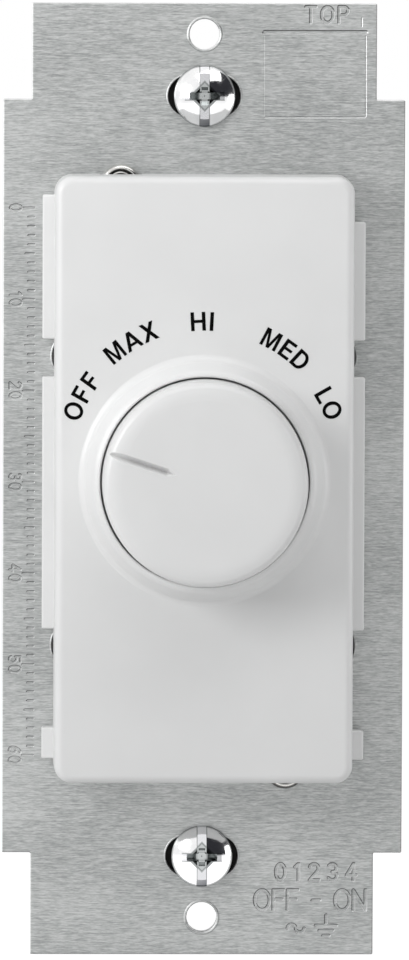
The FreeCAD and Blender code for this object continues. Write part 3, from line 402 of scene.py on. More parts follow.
def laminate():
    """Board of the circuit, with a trace of its weave."""
    m, t, s = shade("board")
    weave = t.nodes.new("ShaderNodeTexWave")
    weave.inputs["Scale"].default_value = 0.6
    weave.inputs["Distortion"].default_value = 1.5
    t.links.new(space(t, EVEN), weave.inputs["Vector"])
    woven = ramp(t, weave.outputs["Fac"], (0.40, 0.28, 0.13), (0.50, 0.37, 0.19))
    t.links.new(woven, s.inputs["Base Color"])
    s.inputs["Roughness"].default_value = 0.55
    bump(t, s, weave.outputs["Fac"], 0.2, 0.02)
    return m


WHITE_LOW, WHITE_HIGH = (0.800, 0.802, 0.800), (0.824, 0.826, 0.824)
LOOKS = {
    "strap_aluminium": brushed_aluminium(),
    "screw_zinc": screw_plating(),
    "black_fibre": moulded(
        "black_fibre", (0.012, 0.012, 0.012), (0.024, 0.023, 0.022), 0.6, 0.8, 0.3, 3.0,
    ),
    "eyelet_nickel": rolled_nickel(),
    "cover_white": moulded("cover_white", WHITE_LOW, WHITE_HIGH, 0.30, 0.38, 0.05, 4.0),
    "knob_white": knob_plastic(),
    "spring_steel": plated("spring_steel", (0.40, 0.41, 0.43), (0.52, 0.53, 0.55), 0.25, 0.40),
    "shaft_brass": plated("shaft_brass", (0.66, 0.53, 0.28), (0.78, 0.66, 0.40), 0.22, 0.36),
    "bushing_brass": plated("bushing_brass", (0.66, 0.60, 0.42), (0.78, 0.72, 0.54), 0.22, 0.38),
    "plated_steel": plated("plated_steel", (0.55, 0.56, 0.57), (0.68, 0.69, 0.70), 0.22, 0.36),
    "fibre_sheet": moulded(
        "fibre_sheet", (0.055, 0.054, 0.052), (0.095, 0.092, 0.088), 0.55, 0.75, 0.25, 2.0,
    ),
    "switch_case": moulded("switch_case", (0.13, 0.08, 0.05), (0.18, 0.12, 0.08), 0.42, 0.56, 0.2),
    "rotor_plastic": moulded(
        "rotor_plastic", (0.70, 0.68, 0.62), (0.78, 0.76, 0.71), 0.40, 0.52, 0.1,
    ),
    "contact_bronze": plated("contact_bronze", (0.66, 0.48, 0.30), (0.80, 0.64, 0.46), 0.22, 0.36),
    "board": laminate(),
    "capacitor_case": moulded(
        "capacitor_case", (0.55, 0.46, 0.11), (0.64, 0.56, 0.17), 0.25, 0.36, 0.05,
    ),
    "resistor_coat": moulded(
        "resistor_coat", (0.50, 0.40, 0.27), (0.58, 0.49, 0.35), 0.40, 0.52, 0.1,
    ),
    "housing_black": moulded(
        "housing_black", (0.022, 0.022, 0.023), (0.034, 0.034, 0.036), 0.42, 0.58, 0.35, 3.5,
    ),
    "bushing_black": moulded(
        "bushing_black", (0.030, 0.030, 0.031), (0.044, 0.044, 0.045), 0.34, 0.46, 0.12, 4.0,
    ),
}


# Flat shapes made of loops, with cut strokes

def curve(cx, cz, rx, rz, start, end, steps):
    """Points on an ellipse, both ends included, angles in degrees."""
    out = []
    for i in range(steps + 1):
        a = math.radians(start + (end - start) * i / steps)
        out.append((cx + rx * math.cos(a), cz + rz * math.sin(a)))
    return out


def arc(cx, cz, radius, start, end, steps):
    """Points on a circle, both ends included, angles in degrees."""
    return curve(cx, cz, radius, radius, start, end, steps)


def circle(cx, cz, radius, steps):
    """Points all round a circle, as a closed loop."""
    return arc(cx, cz, radius, 0.0, 360.0, steps)[:-1]


def rounded_corners(points, radius, steps=4):
    """Rounds each corner of a polygon with right angles."""
    out = []
    n = len(points)
    for i, (x, z) in enumerate(points):
        ax, az = points[i - 1]
        bx, bz = points[(i + 1) % n]
        la, lb = math.hypot(ax - x, az - z), math.hypot(bx - x, bz - z)
        ux, uz, vx, vz = (ax - x) / la, (az - z) / la, (bx - x) / lb, (bz - z) / lb
        cx, cz = x + (ux + vx) * radius, z + (uz + vz) * radius
        a0 = math.atan2(-vz, -vx)
        a1 = math.atan2(-uz, -ux)
        turn = (a1 - a0 + math.pi) % (2 * math.pi) - math.pi
        for k in range(steps + 1):
            a = a0 + turn * k / steps
            out.append((cx + radius * math.cos(a), cz + radius * math.sin(a)))
    return out


def moved_in(loop, amount):
    """The closed loop moved to its left; inwards, for a loop that runs anticlockwise."""
    out = []
    n = len(loop)
    for i in range(n):
        ax, az = loop[i - 1]
        x, z = loop[i]
        bx, bz = loop[(i + 1) % n]
        d1 = Vector((x - ax, z - az)).normalized()
        d2 = Vector((bx - x, bz - z)).normalized()
        n1, n2 = Vector((-d1.y, d1.x)), Vector((-d2.y, d2.x))
        m = n1 + n2
        m = m / max(m.dot(m) / 2.0, 0.5)
        out.append((x + m.x * amount, z + m.y * amount))
    return out


def inside(loop, x, z):
    """Whether the point lies inside the closed loop."""
    hit = False
    n = len(loop)
    for i in range(n):
        x1, z1 = loop[i - 1]
        x2, z2 = loop[i]
        if (z1 > z) != (z2 > z) and x < (x2 - x1) * (z - z1) / (z2 - z1) + x1:
            hit = not hit
    return hit


def turned(points, x, z, turn):
    """The points turned by an angle in degrees and moved to x and z."""
    c, s = math.cos(math.radians(turn)), math.sin(math.radians(turn))
    return [(x + c * u - s * v, z + s * u + c * v) for u, v in points]


def stroke_loop(line, half):
    """Outline of a cut stroke with round ends along an open line of points."""
    left, right = [], []
    n = len(line)
    for i, (x, z) in enumerate(line):
        a = Vector(line[max(i - 1, 0)])
        b = Vector(line[min(i + 1, n - 1)])
        d = (b - a).normalized()
        left.append((x - d.y * half, z + d.x * half))
        right.append((x + d.y * half, z - d.x * half))
    first = Vector(line[1]) - Vector(line[0])
    last = Vector(line[-1]) - Vector(line[-2])
    a0 = math.degrees(math.atan2(first.y, first.x))
    a1 = math.degrees(math.atan2(last.y, last.x))
    end_cap = arc(line[-1][0], line[-1][1], half, a1 - 90, a1 + 90, 6)[1:-1]
    start_cap = arc(line[0][0], line[0][1], half, a0 + 90, a0 + 270, 6)[1:-1]
    return right + end_cap + left[::-1] + start_cap


def far_from(line, x, z):
    """Distance from a point to an open line of points."""
    best = math.inf
    for (x1, z1), (x2, z2) in zip(line, line[1:]):
        dx, dz = x2 - x1, z2 - z1
        t = ((x - x1) * dx + (z - z1) * dz) / (dx * dx + dz * dz)
        t = min(max(t, 0.0), 1.0)
        best = min(best, math.hypot(x - x1 - t * dx, z - z1 - t * dz))
    return best


# Strokes with a half width above this have a flat floor, this share of their width
WIDE, FLOOR = 0.14, 0.55
POINT_GAP = 1e-5
LEAST_SHARE = 1e-3


def flat_mesh(outer, holes, strokes=()):
    """Triangles inside the outer loop and outside the holes, with strokes cut into them.

    Each stroke is (line, half width, depth). Returns the points, how deep each lies, and the faces.
    """
    points, edges = [], []

    def add(loop, closed):
        base = len(points)
        points.extend(Vector(p) for p in loop)
        last = len(loop) if closed else len(loop) - 1
        edges.extend((base + i, base + (i + 1) % len(loop)) for i in range(last))

    for loop in [outer] + list(holes):
        add(loop, True)
    for line, half, _ in strokes:
        add(stroke_loop(line, half), True)
        if half > WIDE:
            add(stroke_loop(line, half * FLOOR), True)
        else:
            add(line, False)
    made, _, faces, *_ = delaunay_2d_cdt(points, edges, [], 0, POINT_GAP)
    boxes = []
    for line, half, _ in strokes:
        xs, zs = [p[0] for p in line], [p[1] for p in line]
        boxes.append((min(xs) - half, max(xs) + half, min(zs) - half, max(zs) + half))
    depths = []
    for p in made:
        deepest = 0.0
        for (line, half, depth), (x0, x1, z0, z1) in zip(strokes, boxes):
            if x0 <= p.x <= x1 and z0 <= p.y <= z1:
                share = 1.0 - far_from(line, p.x, p.y) / half
                if half > WIDE:
                    share = share / (1.0 - FLOOR)
                if share > LEAST_SHARE:
                    deepest = max(deepest, depth * min(share, 1.0))
        depths.append(deepest)
    kept = []
    for f in faces:
        x = sum(made[i].x for i in f) / len(f)
        z = sum(made[i].y for i in f) / len(f)
        if inside(outer, x, z) and not any(inside(h, x, z) for h in holes):
            kept.append(list(f))
    return [(p.x, p.y) for p in made], depths, kept


# Stroke letters and signs, one unit high, each a width and its open lines

SIGNS = {
    "T": (0.62, [[(0.0, 1.0), (0.62, 1.0)], [(0.31, 1.0), (0.31, 0.0)]]),
    "O": (0.74, [curve(0.37, 0.5, 0.37, 0.5, 90, 450, 26)]),
    "P": (0.56, [
        [(0.0, 0.0), (0.0, 1.0)],
        [(0.0, 1.0), (0.30, 1.0)] + curve(0.30, 0.74, 0.26, 0.26, 90, -90, 10)[1:] + [(0.0, 0.48)],
    ]),
    "F": (0.52, [[(0.0, 0.0), (0.0, 1.0)], [(0.0, 1.0), (0.52, 1.0)], [(0.0, 0.53), (0.44, 0.53)]]),
    "N": (0.60, [[(0.0, 0.0), (0.0, 1.0)], [(0.0, 1.0), (0.60, 0.0)], [(0.60, 0.0), (0.60, 1.0)]]),
    "0": (0.56, [curve(0.28, 0.5, 0.28, 0.5, 90, 450, 24)]),
    "1": (0.30, [[(0.0, 0.80), (0.22, 1.0)], [(0.22, 1.0), (0.22, 0.0)]]),
    "2": (0.54, [
        curve(0.27, 0.73, 0.27, 0.27, 165, -35, 12) + [(0.0, 0.0)],
        [(0.0, 0.0), (0.56, 0.0)],
    ]),
    "3": (0.52, [
        curve(0.25, 0.75, 0.25, 0.25, 150, -90, 12),
        curve(0.25, 0.26, 0.27, 0.26, 90, -150, 12),
    ]),
    "4": (0.58, [
        [(0.42, 0.0), (0.42, 1.0)],
        [(0.42, 1.0), (0.0, 0.30)],
        [(0.0, 0.30), (0.58, 0.30)],
    ]),
    "5": (0.54, [
        [(0.50, 1.0), (0.06, 1.0)],
        [(0.06, 1.0), (0.03, 0.56)],
        curve(0.26, 0.33, 0.28, 0.33, 135, -150, 14),
    ]),
    "6": (0.54, [
        curve(0.27, 0.31, 0.27, 0.31, 0, 360, 20),
        curve(0.55, 0.31, 0.55, 0.69, 180, 95, 8),
    ]),
    "-": (0.40, [[(0.0, 0.48), (0.36, 0.48)]]),
    "~": (0.70, [
        curve(0.17, 0.50, 0.17, 0.16, 180, 0, 10),
        curve(0.51, 0.50, 0.17, 0.16, 180, 360, 10),
    ]),
}
BLANK = 0.34


def row_width(text, gap):
    """Width of a row of signs one unit high."""
    widths = [BLANK if c == " " else SIGNS[c][0] for c in text]
    return sum(widths) + gap * (len(text) - 1)


def set_row(text, x, z, height, gap=0.26, turn=0.0):
    """Lines of a row of signs, with x and z at its middle."""
    out = []
    pen = -row_width(text, gap) / 2
    for sign in text:
        width, lines = SIGNS[sign] if sign != " " else (BLANK, [])
        for line in lines:
            sized = [((pen + px) * height, (pz - 0.5) * height) for px, pz in line]
            out.append(turned(sized, x, z, turn))
        pen += width + gap
    return out


def earth_sign(x, z, height):
    """Earth sign: an upright line above three bars of falling length."""
    out = [[(x, z + height / 2), (x, z)]]
    for i, half in enumerate((0.50, 0.32, 0.14)):
        level = z - height * 0.24 * i
        out.append([(x - half * height, level), (x + half * height, level)])
    return out


# Half width and depth of the strokes of signs, and of the finer ones of the scale
SIGN_HALF, SIGN_DEEP = 0.21, 0.14
SCALE_HALF, SCALE_DEEP = 0.145, 0.12


def pressed(lines, half, depth):
    """The lines as strokes of one half width and depth."""
    return [(line, half, depth) for line in lines]


def stamped_strokes():
    """Word, bar and thin frame at the upper right, plain numbers and signs at the lower right."""
    out = pressed(set_row("TOP", 13.35, 50.58, 1.72, 0.37), SIGN_HALF, 0.15)
    out.append(([(6.55, 48.63), (17.60, 48.67)], 0.27, 0.17))
    out.append(([(17.62, 48.30), (17.66, 39.50)], 0.08, 0.04))
    out.append(([(17.55, 39.40), (6.60, 39.36)], 0.10, 0.07))
    out.append(([(6.50, 39.50), (6.46, 48.25)], 0.06, 0.018))
    out.append(([(17.17, 50.25), (17.17, 49.30)], 0.10, 0.07))
    out += scale_strokes()
    rows = set_row("01234", 12.57, -43.43, 1.80, 0.60)
    rows += set_row("OFF - ON", 11.93, -46.52, 2.20, 0.19)
    rows += set_row("~", 10.40, -49.65, 2.7) + earth_sign(13.70, -49.35, 2.3)
    return out + pressed(rows, SIGN_HALF, SIGN_DEEP)


SCALE_TOP, SCALE_LENGTH = 29.4, 60
SCALE_X, NUMBER_X = -18.55, -20.55


def scale_strokes():
    """A plain length scale: a tick for each millimetre and a number for each ten."""
    lines = []
    for i in range(SCALE_LENGTH + 1):
        z = SCALE_TOP - i
        tick = 1.15 if i % 10 == 0 else (0.90 if i % 5 == 0 else 0.60)
        lines.append([(SCALE_X, z), (SCALE_X - tick, z)])
    for i in range(0, SCALE_LENGTH + 1, 10):
        lines += set_row(str(i), NUMBER_X, SCALE_TOP - i, 1.25, 0.34, -90.0)
    return pressed(lines, SCALE_HALF, SCALE_DEEP)


def dial_letter(sign):
    """Width and closed loops of a bold upright letter one unit high, its outline first."""
    # Widths of stems and bars, and the underside of a bar at the top
    b, t = 0.188, 0.166
    h = 1.0 - t
    if sign == "I":
        return 0.19, [[(0.0, 0.0), (0.19, 0.0), (0.19, 1.0), (0.0, 1.0)]]
    if sign == "L":
        return 0.60, [[(0.0, 0.0), (0.60, 0.0), (0.60, t), (b, t), (b, 1.0), (0.0, 1.0)]]
    if sign == "F":
        return 0.60, [[
            (0.0, 0.0), (b, 0.0), (b, 0.415), (0.545, 0.415), (0.545, 0.57), (b, 0.57),
            (b, h), (0.60, h), (0.60, 1.0), (0.0, 1.0),
        ]]
    if sign == "E":
        return 0.66, [[
            (0.0, 0.0), (0.66, 0.0), (0.66, t), (b, t), (b, 0.43), (0.61, 0.43), (0.61, 0.585),
            (b, 0.585), (b, h), (0.65, h), (0.65, 1.0), (0.0, 1.0),
        ]]
    if sign == "H":
        w = 0.79
        return w, [[
            (0.0, 0.0), (b, 0.0), (b, 0.425), (w - b, 0.425), (w - b, 0.0), (w, 0.0), (w, 1.0),
            (w - b, 1.0), (w - b, 0.583), (b, 0.583), (b, 1.0), (0.0, 1.0),
        ]]
    if sign == "M":
        w, c = 0.92, 0.165
        return w, [[
            (0.0, 0.0), (c, 0.0), (c, 0.75), (0.378, 0.0), (w - 0.378, 0.0), (w - c, 0.75),
            (w - c, 0.0), (w, 0.0), (w, 1.0), (w - 0.245, 1.0), (w / 2, 0.24), (0.245, 1.0),
            (0.0, 1.0),
        ]]
    if sign == "A":
        w = 0.93
        return w, [
            [
                (0.0, 0.0), (0.188, 0.0), (0.270, 0.225), (w - 0.270, 0.225),
                (w - 0.188, 0.0), (w, 0.0), (w / 2 + 0.105, 1.0), (w / 2 - 0.105, 1.0),
            ],
            [(0.322, 0.37), (w / 2, 0.755), (w - 0.322, 0.37)],
        ]
    if sign == "X":
        w = 0.83
        return w, [[
            (0.0, 0.0), (0.215, 0.0), (0.415, 0.335), (0.615, 0.0), (w, 0.0), (0.525, 0.51),
            (w - 0.02, 1.0), (0.60, 1.0), (0.415, 0.69), (0.23, 1.0), (0.02, 1.0), (0.305, 0.51),
        ]]
    if sign == "O":
        outer = curve(0.46, 0.5, 0.46, 0.515, 0, 360, 36)[:-1]
        inner = curve(0.46, 0.5, 0.275, 0.350, 0, 360, 30)[:-1]
        return 0.92, [outer, inner]
    if sign == "D":
        bow = curve(0.36, 0.5, 0.42, 0.5, -90, 90, 18)[1:]
        hollow = curve(0.350, 0.5, 0.250, 0.342, -90, 90, 14)[1:]
        outer = [(0.0, 0.0), (0.36, 0.0)] + bow + [(0.0, 1.0)]
        inner = [(b, t), (0.350, t)] + hollow + [(b, h)]
        return 0.78, [outer, inner]


# Words on arcs: each with its radius and each letter's turn to the left, in degrees
DIAL_WORDS = [
    ("OFF", 15.32, (68.3, 60.8, 54.2)),
    ("MAX", 15.53, (39.1, 30.8, 23.1)),
    ("HI", 15.44, (2.8, -2.7)),
    ("MED", 15.29, (-28.0, -35.8, -42.7)),
    ("LO", 15.00, (-60.2, -67.1)),
]
ARC_MIDDLE = (0.0, 1.9)
CAP_HEIGHT = 2.03
INK_THICKNESS, INK_SUNK = 0.03, 0.01


# Pieces

# Points closer than this are joined: in finished pieces, in metres, and in loose ones, in mm
WELD, LOOSE_WELD = 1e-7, 1e-5


def tidy(obj, angle=None):
    """Joins equal points, turns faces outwards, and smooths edges below the angle."""
    bm = bmesh.new()
    bm.from_mesh(obj.data)
    bmesh.ops.remove_doubles(bm, verts=bm.verts, dist=WELD)
    bmesh.ops.recalc_face_normals(bm, faces=bm.faces)
    if angle is not None:
        limit = math.radians(angle)
        for e in bm.edges:
            if len(e.link_faces) == 2:
                e.smooth = e.calc_face_angle() < limit
        for f in bm.faces:
            f.smooth = True
    bm.to_mesh(obj.data)
    bm.free()
    obj.data.update()


def new_object(name, vertices, faces, look, body="device"):
    """A piece made from points in millimetres, on its body and with its material."""
    mesh = bpy.data.meshes.new(name)
    mesh.from_pydata([[c * MM for c in v] for v in vertices], [], faces)
    mesh.update()
    obj = bpy.data.objects.new(name, mesh)
    scene.collection.objects.link(obj)
    mesh.materials.append(look)
    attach(obj, body)
    return obj


def make_dial_words():
    """Printed words on the cover's face, a thin film of ink."""
    vertices, faces = [], []
    front, back = COVER_FACE - INK_THICKNESS, COVER_FACE + INK_SUNK
    for word, radius, turns in DIAL_WORDS:
        for sign, turn in zip(word, turns):
            w, loops = dial_letter(sign)
            x, z = turned([(0.0, radius)], *ARC_MIDDLE, turn)[0]
            placed = []
            for loop in loops:
                sized = [((px - w / 2) * CAP_HEIGHT, (pz - 0.5) * CAP_HEIGHT) for px, pz in loop]
                placed.append(turned(sized, x, z, turn))
            flat, _, tris = flat_mesh(placed[0], placed[1:])
            base = len(vertices)
            vertices += [(px, front, pz) for px, pz in flat]
            faces += [[base + i for i in f] for f in tris]
            for loop in placed:
                base = len(vertices)
                n = len(loop)
                vertices += [(px, y, pz) for y in (front, back) for px, pz in loop]
                for i in range(n):
                    j = (i + 1) % n
                    faces.append([base + i, base + n + i, base + n + j, base + j])
    tidy(new_object("dial_words", vertices, faces, ink()))


# Broken edges of the strap's outline, and of its holes at the back
EDGE, REAR_EDGE = 0.12, 0.08
# Rims of its holes in steps from the sheet to the wall, each (width outside the wall, depth)
PLAIN = [(0.02, 0.0), (0.0, 0.02)]
BURR = [(0.22, 0.0), (0.15, -0.045), (0.06, -0.045), (0.0, 0.03)]
LIP = [(0.30, 0.0), (0.26, -0.05), (0.15, -0.10), (0.04, -0.05), (0.0, 0.04)]
# Deeper than any stroke
STROKE_REACH = 0.21


def make_strap():
    """The strap with broken edges, rolled rims round its holes, and its stamped lines."""
    w, e = STRAP_HALF, STRAP_END_HALF
    shoulder = SCREW_Z - SHOULDER_DROP
    top, bottom = PLATE_HOLE_Z + TOP_EDGE, -PLATE_HOLE_Z - BOTTOM_EDGE
    corners = [
        (-e, bottom), (e, bottom), (e, -shoulder), (w, -shoulder), (w, shoulder), (e, shoulder),
        (e, top), (-e, top), (-e, shoulder), (-w, shoulder), (-w, -shoulder), (-e, -shoulder),
    ]
    outer = rounded_corners(corners, STRAP_CORNER)
    reach = (SCREW_SLOT_LENGTH - SCREW_SLOT_WIDTH) / 2
    half = SCREW_SLOT_WIDTH / 2
    holes = []
    for z in (SCREW_Z, -SCREW_Z):
        slot = arc(reach, z, half, -90, 90, 24) + arc(-reach, z, half, 90, 270, 24)
        holes.append((slot, BURR))
    for z in (PLATE_HOLE_Z, -PLATE_HOLE_Z):
        holes.append((circle(0.0, z, PLATE_HOLE_RADIUS, 56), LIP))
    for x, z in WINDOWS:
        holes.append((circle(x, z, WINDOW_RADIUS, 56), BURR))
    for x, z in EYELETS:
        holes.append((circle(x, z, EYELET_RADIUS, 24), PLAIN))
    holes.append((circle(0.0, 0.0, BUSHING_RADIUS, 48), PLAIN))
    vertices, faces = [], []

    def sheet(y, outer_loop, hole_loops, strokes=()):
        """A flat side at this level, with its holes and strokes."""
        flat, depths, tris = flat_mesh(outer_loop, hole_loops, strokes)
        base = len(vertices)
        vertices.extend((x, y + d, z) for (x, z), d in zip(flat, depths))
        faces.extend([base + i for i in f] for f in tris)

    def band(first, y1, second, y2):
        """The wall between two loops of as many points at their levels."""
        base = len(vertices)
        n = len(first)
        vertices.extend((x, y1, z) for x, z in first)
        vertices.extend((x, y2, z) for x, z in second)
        for i in range(n):
            j = (i + 1) % n
            faces.append([base + i, base + j, base + n + j, base + n + i])

    inner = moved_in(outer, EDGE)
    middle = moved_in(outer, EDGE * 0.4)
    front_holes = [moved_in(loop, -rim[0][0]) for loop, rim in holes]
    back_holes = [moved_in(loop, -REAR_EDGE) for loop, _ in holes]
    sheet(STRAP_FRONT, inner, front_holes, stamped_strokes())
    band(inner, STRAP_FRONT, middle, STRAP_FRONT + EDGE * 0.5)
    band(middle, STRAP_FRONT + EDGE * 0.5, outer, STRAP_FRONT + EDGE)
    band(outer, STRAP_FRONT + EDGE, outer, STRAP_BACK - EDGE)
    band(outer, STRAP_BACK - EDGE, inner, STRAP_BACK)
    for (loop, rim), rear in zip(holes, back_holes):
        rings = [(moved_in(loop, -wide), STRAP_FRONT + deep) for wide, deep in rim]
        rings += [(loop, STRAP_BACK - REAR_EDGE), (rear, STRAP_BACK)]
        for (first, y1), (second, y2) in zip(rings, rings[1:]):
            band(first, y1, second, y2)
    sheet(STRAP_BACK, inner, back_holes)
    look = LOOKS["strap_aluminium"]
    obj = new_object("strap_stamped", vertices, faces, look)
    tidy(obj, 40.0)
    # The flat sides and the walls of the strokes aren't smoothed
    highest, deepest = (STRAP_FRONT - 0.001) * MM, (STRAP_FRONT + STROKE_REACH) * MM
    for face in obj.data.polygons:
        level = abs(face.normal.y)
        if level > 0.8 or (highest < face.center.y < deepest and level > 0.55):
            face.use_smooth = False
    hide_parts("strap")


def turned_surface(profile, steps, x, z):
    """Points and faces of a profile of (radius, y) turned about Y."""
    vertices, faces = [], []
    n = len(profile)
    for r, y in profile:
        for i in range(steps):
            a = 2 * math.pi * i / steps
            vertices.append((x + r * math.cos(a), y, z + r * math.sin(a)))
    for k in range(n - 1):
        for i in range(steps):
            j = (i + 1) % steps
            faces.append([k * steps + i, (k + 1) * steps + i, (k + 1) * steps + j, k * steps + j])
    return vertices, faces


# The head's dome: steps from its middle to its rim, and how much of the radius it covers
DOME_STEPS, DOME_SHARE = 18, 0.985
NECK_START = 0.3


def make_screw_head(x, z):
    """Domed head with a slot and a cross recess, as a cut mesh."""
    top = STRAP_FRONT - HEAD_HEIGHT
    rim = STRAP_FRONT - HEAD_RIM
    radius = HEAD_RADIUS
    profile = [(0.0, top)]
    rise = rim - top
    sphere = (radius * radius + rise * rise) / (2 * rise)
    for i in range(1, DOME_STEPS + 1):
        r = radius * DOME_SHARE * i / DOME_STEPS
        profile.append((r, top + sphere - math.sqrt(sphere * sphere - r * r)))
    profile += [(radius - 0.02, rim + 0.02), (radius, rim + 0.08)]
    profile += [(radius, STRAP_FRONT - 0.06), (radius - 0.06, STRAP_FRONT)]
    profile += [(NECK_RADIUS, STRAP_FRONT), (NECK_RADIUS, STRAP_FRONT + NECK_START)]
    profile += [(0.0, STRAP_FRONT + NECK_START)]
    vertices, faces = turned_surface(profile, 96, x, z)
    head = loose_object("head", vertices, faces)
    depth, reach = (top - 1.0, top + 0.75), (z - 4.5, z + 4.5)
    cut(head, loose_block("slot", (x - SLOT_HALF, x + SLOT_HALF), depth, reach))
    # Tapered blades of the cross, the one along the slot shorter than the one across
    foot, deep, wide = 0.62, 1.75, 0.43
    for turn, arm in ((0, 2.12), (90, 1.40)):
        c, s = math.cos(math.radians(turn)), math.sin(math.radians(turn))
        shape = []
        for side in (-1, 1):
            across = side * wide
            shape += [(-arm, top - 0.3, across), (arm, top - 0.3, across)]
            shape += [(foot, top + deep, across * 0.72), (-foot, top + deep, across * 0.72)]
        shape = [(x + c * px - s * pz, py, z + s * px + c * pz) for px, py, pz in shape]
        blade = loose_object("blade", shape, [
            [0, 1, 2, 3], [7, 6, 5, 4], [0, 4, 5, 1], [1, 5, 6, 2], [2, 6, 7, 3], [3, 7, 4, 0],
        ])
        cut(head, blade)
    bowl = [(0.0, -0.4), (1.80, -0.4), (0.98, 0.7), (0.50, 1.5), (0.0, 1.8)]
    v, f = turned_surface([(r, top + y) for r, y in bowl], 4, x, z)
    cut(head, loose_object("middle", v, f))
    return head


def loose_object(name, vertices, faces):
    """A closed shape in millimetres to cut, to cut with, or to join."""
    mesh = bpy.data.meshes.new(name)
    mesh.from_pydata(vertices, [], faces)
    bm = bmesh.new()
    bm.from_mesh(mesh)
    bmesh.ops.remove_doubles(bm, verts=bm.verts, dist=LOOSE_WELD)
    bmesh.ops.recalc_face_normals(bm, faces=bm.faces)
    bm.to_mesh(mesh)
    bm.free()
    obj = bpy.data.objects.new(name, mesh)
    scene.collection.objects.link(obj)
    return obj


def loose_block(name, xs, ys, zs):
    """A block between two values along each axis."""
    v = [(x, y, z) for x in xs for y in ys for z in zs]
    return loose_object(name, v, [
        [0, 1, 3, 2], [4, 6, 7, 5], [0, 4, 5, 1], [2, 3, 7, 6], [0, 2, 6, 4], [1, 5, 7, 3],
    ])


def cut(obj, tool):
    """Cuts the tool's shape out of the object and removes the tool."""
    m = obj.modifiers.new("cut", "BOOLEAN")
    m.operation = "DIFFERENCE"
    m.object = tool
    m.solver = "EXACT"
    dg = bpy.context.evaluated_depsgraph_get()
    result = bpy.data.meshes.new_from_object(obj.evaluated_get(dg))
    obj.modifiers.clear()
    old = obj.data
    obj.data = result
    bpy.data.meshes.remove(old)
    bpy.data.objects.remove(tool)


def make_thread(x, z, start, end, major, minor, pitch):
    """Helical thread with rounded roots, its last turns running out at the tip."""
    steps = 28
    vertices, faces = [], []
    rows = int((end - start) / pitch * 4) + 2
    flank = (major + minor) / 2 + 0.02
    for k in range(rows):
        for i in range(steps):
            y = start + (k / 4.0) * pitch + pitch * i / steps
            y = min(y, end)
            r = (minor, flank, major, flank)[k % 4]
            ease = min(1.0, max(0.0, (end - y) / (pitch * 0.9)))
            r = min(r, minor - 0.25 + (major - minor + 0.25) * ease)
            if y - start < pitch * 0.6:
                r = min(r, minor + (major - minor) * (y - start) / (pitch * 0.6))
            a = 2 * math.pi * i / steps
            vertices.append((x + r * math.cos(a), y, z + r * math.sin(a)))
    for k in range(rows - 1):
        here, after = k * steps, (k + 1) * steps
        for i in range(steps):
            j = i + 1
            if j < steps:
                faces.append([here + i, after + i, after + j, here + j])
            # The last column meets the first one a whole turn, four rows, further on
            elif k + 5 < rows:
                faces.append([here + i, after + i, (k + 5) * steps, (k + 4) * steps])
    vertices.append((x, end, z))
    return vertices, faces


def make_screws():
    """Both box screws as one piece: heads, necks and threads."""
    parts = []
    shank = [
        (0.0, -2.6), (NECK_RADIUS, -2.6), (NECK_RADIUS, 0.02), (CORE_RADIUS, 0.05),
        (CORE_RADIUS, 14.9), (0.9, TIP_END), (0.0, TIP_END),
    ]
    for z in (SCREW_Z, -SCREW_Z):
        parts.append(make_screw_head(0.0, z))
        neck, neck_faces = turned_surface(shank, 32, 0.0, z)
        parts.append(loose_object("neck", neck, neck_faces))
        thread, thread_faces = make_thread(
            0.0, z, 0.0, THREAD_END, THREAD_MAJOR, THREAD_MINOR, THREAD_PITCH,
        )
        parts.append(loose_object("thread", thread, thread_faces))
    bm = bmesh.new()
    for p in parts:
        bm.from_mesh(p.data)
        bpy.data.objects.remove(p)
    bmesh.ops.scale(bm, vec=(MM, MM, MM), verts=bm.verts)
    mesh = bpy.data.meshes.new("box_screws_fine")
    bm.to_mesh(mesh)
    bm.free()
    mesh.materials.clear()
    mesh.materials.append(LOOKS["screw_zinc"])
    obj = bpy.data.objects.new("box_screws_fine", mesh)
    scene.collection.objects.link(obj)
    tidy(obj, 32.0)
    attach(obj, "device")
    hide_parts("box_screws")


def dress_nodes():
    """Gives every solid that stays its material, by its slot in the record."""
    for row in frame["record"]["subparts"]:
        obj = nodes[row["node"]]
        look = LOOKS[row["material_slot"]]
        obj.data.materials.clear()
        obj.data.materials.append(look)


# Surroundings, with sizes and places in metres

MIDDLE = (0.0, -0.01, 0.0)


def area_lamp(name, place, size, watts, mirrored=True):
    """A soft rectangular lamp aimed at the middle of the part."""
    data = bpy.data.lights.new(name, "AREA")
    data.shape = "RECTANGLE"
    data.size, data.size_y = size
    data.energy = watts
    obj = bpy.data.objects.new(name, data)
    scene.collection.objects.link(obj)
    obj.location = place
    obj.visible_camera = False
    obj.visible_glossy = mirrored
    obj.rotation_mode = "QUATERNION"
    obj.rotation_quaternion = (Vector(MIDDLE) - Vector(place)).to_track_quat("-Z", "Y")


# Strength of the room's light away from and towards its bright side, and round the sides;
# how bright the floor is to the eye and to what it lights
ROOM_LOW, ROOM_HIGH = 0.02, 0.21
ROOM_SIDES = 0.17
FLOOR_GLOW, FLOOR_BOUNCE = 0.87, 0.19


def seen_directly(t, path):
    """One for rays from the camera, by mirror and through glass, which see a white studio."""
    seen = total(t, path.outputs["Is Camera Ray"], path.outputs["Is Glossy Ray"], "MAXIMUM")
    return total(t, seen, path.outputs["Is Transmission Ray"], "MAXIMUM")


